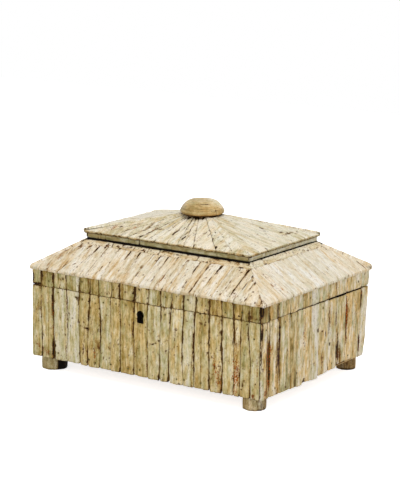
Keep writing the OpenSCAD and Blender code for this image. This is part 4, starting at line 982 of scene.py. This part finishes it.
def side_pairs(side, front, end):
    """Joints of a slope. The two slopes that don't show mirror those that do."""
    pairs = end if side % 2 else front
    return pairs if side < 2 else [(-low, -high) for low, high in reversed(pairs)]


def held_between(line, left_hip, right_hip):
    """A joint that stays just inside both hips."""
    def held(t):
        x, gap = line(t)
        return np.clip(x, 0.2 - left_hip(t), right_hip(t) - 0.2), gap
    return held


def build_roof(side):
    """Strips of one slope of the lower roof."""
    tip, neck, far_tip, _, rise, lean = roof_slope(side)
    shown, end = side < 2, side % 2
    run = (tip - neck - BORDER_W) * math.sqrt(1 + rise * rise) + 0.6
    first = 30000 + 3000 * side

    def lift(s, t):
        """How far up strips lie: those of the hidden slopes lie on the edges of those that show."""
        return 0 if shown else HIP_STEP + (0.8 * rising((-s - 90) / 50) if side == 2 else 0)

    def hip(t, ragged):
        middle = far_tip - (tip - slope_path(t, tip, EAVE_Z, rise)[0]) * lean
        return middle - 1.3 * ragged * np.maximum(0, sway(t, 3.2, first + 9) + 0.15)

    # The hip that each of the two shown slopes has on its far side is ragged
    def left_hip(t):
        return hip(t, side == 0)

    def right_hip(t):
        return hip(t, side == 1)

    # The joints are filled low down and gape near the border, most of all in the front
    pairs = side_pairs(side, roof_front_joints, roof_end_joints)
    gaps = (0.12, 0.2, 0.5) if shown else (0.1, 0.12, 0.12)
    lines = [held_between(joint(low, high, roof_high, first + 40 * k, gaps, 0.6, (4, 28, 44)),
                          left_hip, right_hip) for k, (low, high) in enumerate(pairs)]
    hip_gap = 0.45 if side == 0 else 0.05
    lines = ([lambda t: (-left_hip(t), 0.05 + 0 * t)] + lines
             + [lambda t: (right_hip(t), hip_gap + 0 * t)])
    place = sloping(side, tip, EAVE_Z, rise, lift)
    eave_end = -3.2 - (0 if shown else HIP_STEP)
    sheet = Sheet()
    heights = np.linspace(0, run, 200)
    for k, (left, right) in enumerate(zip(lines, lines[1:])):
        seed = first + 1500 + 60 * k
        runs_out = right(heights)[0] - left(heights)[0] < 1.0
        cut_off = runs_out.any()
        by_hip = cut_off or k in (0, len(pairs))
        middle = abs(float(left(0.0)[0] + right(0.0)[0])) / 2
        cast = 0.25 + 0.45 * rising((middle - 35) / 50) if end else 0.55
        strip(sheet, place, left, right, eave_end + 0.6 * draw(seed + 2),
              float(heights[np.argmax(runs_out)]) if cut_off else run, seed,
              pale=(0.62, 0.72)[end] + 0.2 * (draw(seed + 4) - 0.5),
              cast=cast + 0.4 * (draw(seed + 5) - 0.5),
              edge=0.1 if by_hip and not shown else (0.75, 0.5)[end],
              ends=(0.05, 0.1 if cut_off else 0.45), lip=0.15, inside=0.25 if shown else 0.05,
              fill=(0.6, 0.8, 0.95, 0.95)[side], cell=(1.0, 1.4) if shown else (2.2, 3.5),
              wear=0.8, bow=0.25, lively=0.9 if side == 1 else 1.2, worn_tip=0.9,
              deep=STRIP_DEEP + (0 if shown else HIP_STEP - 0.8),
              marks=(roof_front_marks, roof_right_marks, [], [])[side])
    bed(sheet, place, lines[0], lines[-1], -1.8, run + 1)
    make_piece("roof_strips_" + side_names[side], sheet, "lid", [roof_antler, mastic],
               ["roof_veneer_" + side_names[side]])


for side in range(4):
    build_roof(side)

# Border along the top of the slopes, and the band around the neck

BORDER_THICK = 1.6
# The border's ragged lower edge hangs over the strips, and its upper edge runs under the neck
border_low, border_high = -0.9, 6.6
# How the lengths of its pieces share a side, on the front and on the ends. The band has them reversed.
piece_shares = ((52, 74, 61, 82), (58, 46, 70))


def along_border(side, edge_u, edge_z, angle, lift):
    """t = 0 is the border's lower edge, and near the neck it turns level. lift is how far it stands
    above the board there, at its lower and at its inner edge."""
    flat = (NECK_Z - edge_z - BORDER_PROUD / math.cos(angle)) / math.sin(angle) + 0.45

    def place(s, t, deep):
        up = np.minimum(t, flat)
        turn = np.clip((t - flat) / 1.2 + 0.5, 0, 1)
        nu, nz = math.sin(angle) * (1 - turn), math.cos(angle) * (1 - turn) + turn
        size = np.hypot(nu, nz)
        u = edge_u - up * math.cos(angle) - np.maximum(t - flat, 0) + BORDER_PROUD * math.sin(angle)
        z = np.minimum(edge_z + up * math.sin(angle) + BORDER_PROUD * math.cos(angle), NECK_Z - 0.02)
        z = z + lift[0] + (lift[1] - lift[0]) * rising(t / BORDER_W)
        return round_side(side, s, u - deep * nu / size, z - deep * nz / size)
    return place


def mitre(sign, half, lean, angle):
    """The border's mitred edge at a corner: sign is -1 for the left one and 1 for the right one."""
    def line(t):
        return sign * (half + (BORDER_W - t * math.cos(angle)) * lean), 0.15 + 0 * t
    return line


def lengths_of(half, shares, seed, gap, bend):
    """The joints between pieces whose lengths are in the given shares."""
    places = -half + 2 * half * np.cumsum(shares[:-1]) / sum(shares)
    return [joint(float(s), float(s), 1, seed + 30 * k, gap, bend) for k, s in enumerate(places)]


def lay_border(sheet, side):
    """Pieces of the border along the top of one slope."""
    tip, neck, _, far_neck, rise, lean = roof_slope(side)
    end, angle, edge_u = side % 2, math.atan(rise), neck + BORDER_W
    hidden_lift = (HIP_STEP, HIP_STEP - 0.2)
    lift = ((0, 0.7), (0, 2.0), hidden_lift, hidden_lift)[side]
    place = along_border(side, edge_u, EAVE_Z + (tip - edge_u) * rise, angle, lift)
    lines = ([mitre(-1, far_neck, lean, angle)]
             + lengths_of(far_neck + BORDER_W * lean, piece_shares[end], 60000 + 500 * side,
                          (0.4, 0.08)[end], 0.4)
             + [mitre(1, far_neck, lean, angle)])
    for k, (left, right) in enumerate(zip(lines, lines[1:])):
        strip(sheet, place, left, right, border_low, border_high, 61000 + 500 * side + 60 * k,
              pale=(0.82, 0.87)[end], cast=(0.5, 0.25)[end], pith=(0.2, 0.15)[end],
              edge=(1.3, 0.7)[end], lively=(1.6, 0.9)[end], ends=(0.3, 0.1), wear=1.2, bow=0.0,
              fill=0.3, cell=(1.1, 0.7) if side < 2 else (3, 1.3), lengthwise=False,
              deep=BORDER_THICK, inside=0.3)


def lay_band(sheet, side):
    """Pieces of the band on one side of the neck."""
    end = side % 2
    half, reach = (BAND_X, BAND_Y) if end else (BAND_Y, BAND_X)
    lines = ([straight(0.1 - reach)]
             + lengths_of(reach, piece_shares[end][::-1], 64000 + 500 * side, 0.25, 0.3)
             + [straight(reach - 0.1)])
    for k, (left, right) in enumerate(zip(lines, lines[1:])):
        # The front band is darker than the ends' bands, partly its own khaki and partly painted shadow, and
        # each band's top is darker: painted shadow under the crown's eave
        strip(sheet, upright(side, half), left, right, BAND_LOW, BAND_TOP, 65000 + 500 * side + 60 * k,
              pale=(0.55, 0.86)[end], cast=(0.3, 0.25)[end], edge=0.3, fill=0.5, bow=0.0, wear=0.4,
              ends=(0.3, 0.9) if side == 0 else (0.1, 0.7), lengthwise=False, deep=BORDER_THICK,
              cell=(1.4, 0.7) if side < 2 else (3.5, 1.5))


border_sheet, band_sheet = Sheet(), Sheet()
for side in range(4):
    lay_border(border_sheet, side)
    lay_band(band_sheet, side)
make_piece("border_strips", border_sheet, "lid", [border_antler], ["ledge_border"])
make_piece("neck_strips", band_sheet, "lid", [band_antler], ["neck_band"])

# Tapering strips of the crown

# Joints as (s at the eave, s at crown_high mm up the slope), from left to right
crown_high = 45.0
crown_front_joints = [
    (-84.5, -34), (-66.5, -29), (-48, -21.5), (-34.4, -17.5), (-22.5, -11.5), (-13.5, -7.8),
    (2.3, -3.6), (15.4, 3.4), (23.6, 7.4), (35.5, 12.2), (63.7, 25.6), (84, 34.5)]
crown_end_joints = [
    (-52, -31), (-34.4, -20.5), (-20, -12), (-7.4, -4.6), (5, 2.6), (16.6, 9.4), (27, 15.6),
    (37.6, 22.2), (53, 31.5)]
crown_front_marks = plain_marks([
    (-56, 12.7, 1.8, 1.8, 1, 0.3), (-62, 11.8, 1.4, 1.4, 0.8, 0.2), (-33.4, 5.5, 1.6, 1.8, 1, 0.3),
    (-1.8, 20.8, 0.9, 4, 0.9, 0.4), (0.2, 26, 0.8, 3, 0.8, 0.3), (15, 13.5, 1, 4.5, 1.2, 0.5),
    (12.3, 21.8, 0.8, 4, 0.9, 0.3), (35.2, 1.5, 1, 2.5, 1, 0.4), (22.6, 23.3, 0.7, 4, 0.8, 0.3),
    (60.8, 2.6, 1.5, 3.2, 1.6, 0.8), (47.9, 17.1, 0.9, 5, 1, 0.4), (38.3, 27.3, 0.8, 5, 0.8, 0.3),
    (-66, 8, 1.1, 4, 0.6, 0.3), (48, 17, 0.9, 1, 0.9, 0.3), (56, 8, 0.9, 1, 0.8, 0.2),
    (70, 16, 0.9, 1, 0.8, 0.3), (42, 33, 0.8, 0.9, 0.8, 0.2)]) + [
    (-86, 6.8, 2.2, 1.6, 0, 0.7, 0.4, 0.2), (-96, 1.5, 2.4, 1.6, 0, 0.7, 0.4, 0.2),
    # (4.7, 56), (-4, 54) and (12, 56.5) are painted shadow under the knob's front rim
    (4.7, 56, 3.5, 2.2, -0.4, 2, 0, 0.6), (-4, 54, 2, 2.5, -0.2, 1, 0, 0.3),
    (12, 56.5, 1.6, 2, -0.2, 1.2, 0, 0.3), (-76, 14, 2.2, 7, 0, 0.3, 0.9, 0.2),
    (-52, 20, 1.6, 8, 0, 0.3, 0.8, 0.2), (-40, 12, 1.4, 6, 0, 0.35, 0.7, 0.2),
    (-28, 25, 1.2, 8, 0, 0.35, 0.5, 0.2), (-17, 36, 1, 6, 0, 0.4, 0.4, 0.2),
    (9, 14, 1.1, 5, 0, 0.3, 0.5, 0.1), (30, 22, 1, 7, 0, 0.25, 0.4, 0.1),
    (88, 4, 11, 6, -0.5, 0.1, 0.1, 0)]
crown_right_marks = [
    (34, 18, 7, 1.7, -0.3, 0.9, 0.3, 0.3), (27, 24, 4, 1.3, -0.2, 0.8, 0.2, 0.2),
    (42, 14, 3, 1.1, -0.1, 0.8, 0, 0.2), (-20, 33, 1.2, 3, 0, 0.6, 0.2, 0.2),
    (16, 41, 1.2, 3, 0, 0.6, 0.2, 0.2), (60, 21, 1.6, 1.6, 0, 0.6, 0.2, 0.2),
    (66, 38, 1.4, 1.6, 0, 0.6, 0.2, 0.2), (55, 36, 1.4, 2, 0, 0.5, 0.2, 0.2),
    (66, 50, 1.2, 1.4, 0, 0.6, 0.2, 0.2), (-50, 10, 1.2, 3, 0, 0.5, 0.2, 0.2),
    (-5, 12, 1.4, 2, 0, 0.5, 0.2, 0.2), (-34, 4, 1.4, 2, 0, 0.6, 0.2, 0.2)]


def held_low(line):
    """Below the eave the joints of the crown no longer spread."""
    return lambda t: line(np.maximum(t, 0))


def build_crown(side):
    """Strips of one slope of the crown, which all run to the knob."""
    shown, end = side < 2, side % 2
    tip, far_tip = (CROWN_X, CROWN_Y) if end else (CROWN_Y, CROWN_X)
    rise = CROWN_RISE / tip
    stretch = math.sqrt(1 + rise * rise)
    run = (SEAT_Z - CROWN_Z) / rise * stretch + 2.2
    hip_high = far_tip * (1 - crown_high / stretch / tip)
    pairs = side_pairs(side, crown_front_joints, crown_end_joints)
    first = 70000 + 3000 * side

    def lift(s, t):
        return 0 if shown else HIP_STEP * (1 - t / run)

    # The joints on the right are tight, and so is the last one on the front
    tight = [side == 1 or side == 0 and k >= 11 for k in range(len(pairs) + 1)]
    gaps = [(0.04, 0.06, 0.15) if tight[k] else (0.15, 0.2 + 0.35 * draw(first + k) ** 2, 0.4)
            for k in range(len(pairs))]
    hips = [joint(sign * far_tip, sign * hip_high, crown_high, 0, 0.08, 0.0) for sign in (-1, 1)]
    lines = [joint(low, high, crown_high, first + 40 * k, gaps[k], 0.4, (1, 14, 40))
             for k, (low, high) in enumerate(pairs)]
    lines = [held_low(line) for line in hips[:1] + lines + hips[1:]]
    # The left eave stands out a little further than the others
    place = sloping(side, tip + (1.3 if side == 3 else 0), CROWN_Z, rise, lift)
    sheet = Sheet()
    for k, (left, right) in enumerate(zip(lines, lines[1:])):
        seed = first + 1500 + 60 * k
        # The front's left strips are browner and spottier than its right ones
        brown = 0.1 * rising((6 - k) / 4) if side == 0 else 0.0
        low = (-2.6 if shown else -4.0) - 0.5 * draw(seed)
        # lip darkens each strip's end below the eave: painted shade under the crown's overhang
        strip(sheet, place, left, right, low, run, seed,
              pale=(0.86, 0.82, 0.9, 0.97)[side] + 0.2 * (draw(seed + 4) - 0.5) - brown,
              stain=brown / 2, cast=(0.2, 0.1)[end] + (0.45, 0.3)[end] * draw(seed + 5),
              edge=(0.7, 0.6)[end], ends=(0.7 if shown else 0.05, 0.2), lip=0.55,
              inside=0.3 if shown else 0.05, fill=0.95 if tight[k] else 0.55,
              lively=1.5 if tight[k] else 1.15, wear=0.8, bow=0.25, deep=2.4,
              cell=(1.1, 1.4) if shown else (2.4, 3.5), worn_tip=1.1,
              marks=(crown_front_marks, crown_right_marks, (), ())[side])
    bed(sheet, place, lines[0], lines[-1], -0.5, run)
    make_piece("crown_strips_" + side_names[side], sheet, "lid",
               [crown_antler, mastic], ["crown_veneer_" + side_names[side]])


for side in range(4):
    build_crown(side)

# Knob and feet

def turned(name, profile, centre, body, material, node, seed, shape, tone_of, around_mm, segments=108):
    """A round piece: profile is (radius, height) pairs, shape moves points and tone_of colours them.

    around_mm is its girth in the shader's eyes: where the grain runs round it the girth is the
    pattern's length, and otherwise its width."""
    profile = np.array(profile, float)
    steps = np.concatenate([[0], np.cumsum(np.hypot(*np.diff(profile, axis=0).T))])
    rows = int(steps[-1] / 0.7)
    at = np.linspace(0, steps[-1], rows + 1)
    turn, radius = np.meshgrid(full_turn(segments), np.interp(at, steps, profile[:, 0]))
    height = np.broadcast_to(np.interp(at, steps, profile[:, 1])[:, None], radius.shape)
    path = np.broadcast_to(at[:, None], radius.shape)
    r, z = shape(turn, radius, height)
    points = table(centre[0] + r * np.cos(turn), centre[1] + r * np.sin(turn), centre[2] + z)
    # The two halves mirror each other, so that the pattern has no seam
    folded = np.abs((turn + 2.6) % (2 * math.pi) - math.pi) / math.pi * abs(around_mm) / 2
    grain = (path, folded) if around_mm > 0 else (folded, path)
    tone, cast = tone_of(turn, r, z)
    sheet = Sheet()
    start = sheet.add(points, table(*grain, seed), tone.reshape(-1, 3), cast.ravel())
    rings = [start + i * segments + np.arange(segments) for i in range(rows + 1)]
    for lower, upper in zip(rings, rings[1:]):
        sheet.face(ring_faces(upper, lower))
    sheet.face([rings[0][::-1].tolist(), rings[-1].tolist()])
    return make_piece(name, sheet, body, [material], [node])


def around(turn, size, seed):
    """Noise round a turned piece that joins up with itself."""
    return mottle(np.cos(turn) * 24, np.sin(turn) * 24, size, size, seed)


def degrees_off(turn, way):
    """How many degrees off a way each part of a turned piece faces, from -180 to 180."""
    return (np.degrees(turn) - way + 180) % 360 - 180


def facing(turn, way, width):
    """1 where a turned piece faces that way, falling to 0 over so many degrees on each side."""
    return bell(degrees_off(turn, way), width)


# Heights of the knob's crease, of its thin turned line and of the crack's upper end
KNOB_CREASE, KNOB_LINE, CRACK_TOP = 13.3, 6.8, 11.5
FRONT_WAY, CRACK_WAY, SHOULDER_WAY = -56, -17, 34     # where these are, in degrees from +X


def knob_shape(turn, radius, height):
    """A lumpy burr with a crease, a crack and a turned line."""
    rim = np.clip(1 - height / 9, 0, 1)
    lump = 0.5 * around(turn, 9, 5) + 0.3 * around(turn, 3.4, 6)
    crease = 0.7 * bell(height - KNOB_CREASE, 0.6) * facing(turn, FRONT_WAY, 45)
    crack = 0.35 * facing(turn, CRACK_WAY, 2.4) * rising((CRACK_TOP - height) / 2)
    line = 0.25 * bell(height - KNOB_LINE, 0.5)
    r = radius + (np.minimum(0, lump) * (0.2 + 0.7 * rim) - crease - crack - line) * (radius > 3)
    z = height + 0.25 * mottle(radius * np.cos(turn), radius * np.sin(turn), 5, 5, 7) * (height > 2) - 0.2
    return np.minimum(r, KNOB_R), np.clip(z, 0, KNOB_TOP - SEAT_Z)


def knob_tone(turn, r, z):
    """Brown in the crease and the crack, near black underneath as painted shade below the rim, and paler on
    the shoulder.
    """
    shoulder = 0.15 + 0.5 * rising((z - 6) / 5) * rising((r - 4) / 10)
    pale = (0.46 + 0.2 * rising((z - 10) / 5) + 0.1 * around(turn, 6, 8)
            + shoulder * facing(turn, SHOULDER_WAY, 42))
    # The darkest brown, under the rim, is painted shade
    stain = (0.6 * bell(z - KNOB_CREASE, 0.7) * facing(turn, FRONT_WAY, 42)
             + 0.4 * facing(turn, CRACK_WAY, 2.4) * rising((CRACK_TOP - z) / 2)
             + 0.35 * bell(z - KNOB_LINE, 0.6) + (1.5 + 0.8 * around(turn, 5, 12)) * rising((2.2 - z) / 0.8))
    cast = 0.5 + 0.5 * rising((4.5 - z) / 3) - 0.3 * facing(turn, 220, 60) + 0.15 * around(turn, 8, 9)
    return np.stack([pale, stain, 0.3 * rising((4 - z) / 3)], axis=-1), cast


turned("burr_knob",
       [(20.4, 0), (20.8, 1.2), (22.9, 2.1), (23.8, 3), (24, 3.9), (23.5, 5.4), (22, 8), (20.2, 10.4),
        (18.2, 12.7), (15.7, 14.6), (12.6, 15.7), (7, 16), (0.6, 16)],
       (0, 0, SEAT_Z), "lid", burr_antler, "knob", 11, knob_shape, knob_tone, 150)

FOOT_ROUND, FOOT_R = 77.0, 12.3     # girth and radius of a foot
foot_profile = [(9, 0), (11.7, 0), (12.1, 0.7), (FOOT_R, 5), (FOOT_R, 9), (12.1, 13), (12.0, 14)]
# How wide each foot is against the usual one, how dark, the way its dark side faces, and its cast. The front
# left foot's dark side is partly dark bark and partly painted shade.
foot_kinds = {"foot_front_left": (1.17, 2.2, 24, 0.05), "foot_front_right": (1.0, 0.25, 10, 0.45),
              "foot_back_left": (0.97, 0.7, 20, 0.5), "foot_back_right": (0.9, 0.3, -40, 1.0)}


def build_foot(name, number, wide, dark, way, warm):
    """A length of antler whose bark is left on as fine ridges."""
    low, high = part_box(name)
    centre = [(low[i] + high[i]) / 2 / MM for i in (0, 1)] + [0]

    def shape(turn, radius, height):
        ridge = 0.35 * (sway(turn * FOOT_R, 2.2, 71 + number) + 1) + 0.15 * (sway(turn * FOOT_R, 0.9, 72) + 1)
        joined = rising(np.degrees(turn) / 12) * rising((360 - np.degrees(turn)) / 12)
        bulge = 0.3 * around(turn, 11, 75 + number)
        return wide * radius + (bulge - ridge * joined) * (radius > 11), height + 0 * radius

    def tone_of(turn, r, z):
        off = np.abs(degrees_off(turn, way))
        # The dark side is brown bark, and on the front left foot also painted shade
        stain = dark * rising((68 - off) / 26) + 0.3 * rising((3 - z) / 3) + 0.12
        pale = 0.67 + 0.25 * sway(turn * FOOT_R, 4, 73 + number) + 0.15 * mottle(turn * FOOT_R, z, 2.4, 4, 74)
        cast = warm + 0.35 * mottle(turn * FOOT_R, z, 5, 6, 76 + number)
        return np.stack([pale, stain, 0.2 * rising(1 - stain)], axis=-1), cast

    turned("antler_" + name, foot_profile, centre, "box", foot_antler, name, 20 + number,
           shape, tone_of, -FOOT_ROUND, 84)


for number, (name, kind) in enumerate(foot_kinds.items()):
    build_foot(name, number, *kind)

# Finishes of the CAD parts that stay

def cad_finish(name):
    """Planed pine with its grain along the board, blackened pine, or metal."""
    if name in ("bolt_spring", "foot_screws", "knob_screw"):
        return steel
    if name in ("neck_fillet", "lock_pin"):
        return ebonised if name == "neck_fillet" else iron
    if any(word in name for word in ("wall", "rail_", "board", "block")):
        return pine_short if "left" in name or "right" in name else pine_long
    return brass


for name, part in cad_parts.items():
    part.data.materials.clear()
    part.data.materials.append(cad_finish(name))

# Floor, light and camera

FLOOR_HALF = 2.0              # metres, as all below
floor_mesh = bpy.data.meshes.new("floor")
floor_mesh.from_pydata([(x * FLOOR_HALF, y * FLOOR_HALF, 0) for x, y in ((-1, -1), (1, -1), (1, 1), (-1, 1))],
                       [], [(0, 1, 2, 3)])
floor = new_object("floor", floor_mesh)


def seen(tree):
    """1 for rays from the camera, from gloss and through glass, and 0 for the rest."""
    path = add_node(tree, "LightPath").node.outputs
    both = add_node(tree, "Math", {0: path["Is Camera Ray"], 1: path["Is Glossy Ray"]},
                    operation="MAXIMUM")
    return add_node(tree, "Math", {0: both, 1: path["Is Transmission Ray"]}, operation="MAXIMUM")


# Matt white paper: renders white, and keeps a faint shadow under the box
paper, tree, shader = new_finish("matt_white_paper")
glow = add_node(tree, "Math", {0: seen(tree), 1: 0.75}, operation="MULTIPLY")
set_inputs(shader, {"Base Color": (0.85, 0.85, 0.85, 1), "Roughness": 0.9,
                    "Emission Color": (1, 1, 1, 1), "Emission Strength": glow})
floor_mesh.materials.append(paper)

AMBIENT = 0.40
world = bpy.data.worlds.new("studio")
world.use_nodes = True
bpy.context.scene.world = world
strength = add_node(world.node_tree, "MapRange", {0: seen(world.node_tree), 3: AMBIENT, 4: 1.0})
set_inputs(world.node_tree.nodes["Background"], {"Color": (1, 1, 1, 1), "Strength": strength})


def axes_of(right, up, back, spot):
    """The matrix of an object at a spot whose own axes point those ways."""
    return Matrix([(*row, place) for row, place in zip(zip(right, up, back), spot)] + [(0, 0, 0, 1)])


def soft_lamp(name, spot, aim, size, watts):
    """A square lamp at a spot, turned to what it aims at."""
    lamp = bpy.data.lights.new(name, "AREA")
    lamp.size, lamp.energy = size, watts
    holder = new_object(name, lamp)
    back = np.subtract(spot, aim)
    back /= np.linalg.norm(back)
    right = np.cross((0, 0, 1), back)
    right /= np.linalg.norm(right)
    holder.matrix_world = axes_of(right, np.cross(back, right), back, spot)


soft_lamp("top_light", (0.35, -0.3, 1.7), (0, 0, 0.1), 1.2, 12.1)
soft_lamp("front_light", (0.2, -1.7, 0.75), (0, 0, 0.08), 1.0, 9.1)
soft_lamp("right_light", (1.7, 0.1, 0.8), (0, 0, 0.08), 1.0, 7.0)
soft_lamp("left_light", (-1.6, 0.5, 0.9), (0, 0, 0.08), 1.0, 5)

CAMERA_SPOT = (1.02536, -1.52191, 0.51863)
YAW, PITCH, ROLL, FOCAL_MM = -0.594, 0.209, 0.012, 125.9
forward = np.array([math.sin(YAW) * math.cos(PITCH), math.cos(YAW) * math.cos(PITCH), -math.sin(PITCH)])
level = np.array([math.cos(YAW), -math.sin(YAW), 0])
upward = np.cross(level, forward)
lens = bpy.data.cameras.new("camera")
lens.lens, lens.sensor_width, lens.sensor_fit = FOCAL_MM, 36.0, "AUTO"
camera = new_object("camera", lens)
camera.matrix_world = axes_of(level * math.cos(ROLL) + upward * math.sin(ROLL),
                              upward * math.cos(ROLL) - level * math.sin(ROLL), -forward, CAMERA_SPOT)
bpy.context.scene.camera = camera
bpy.context.scene.view_settings.view_transform = "Standard"
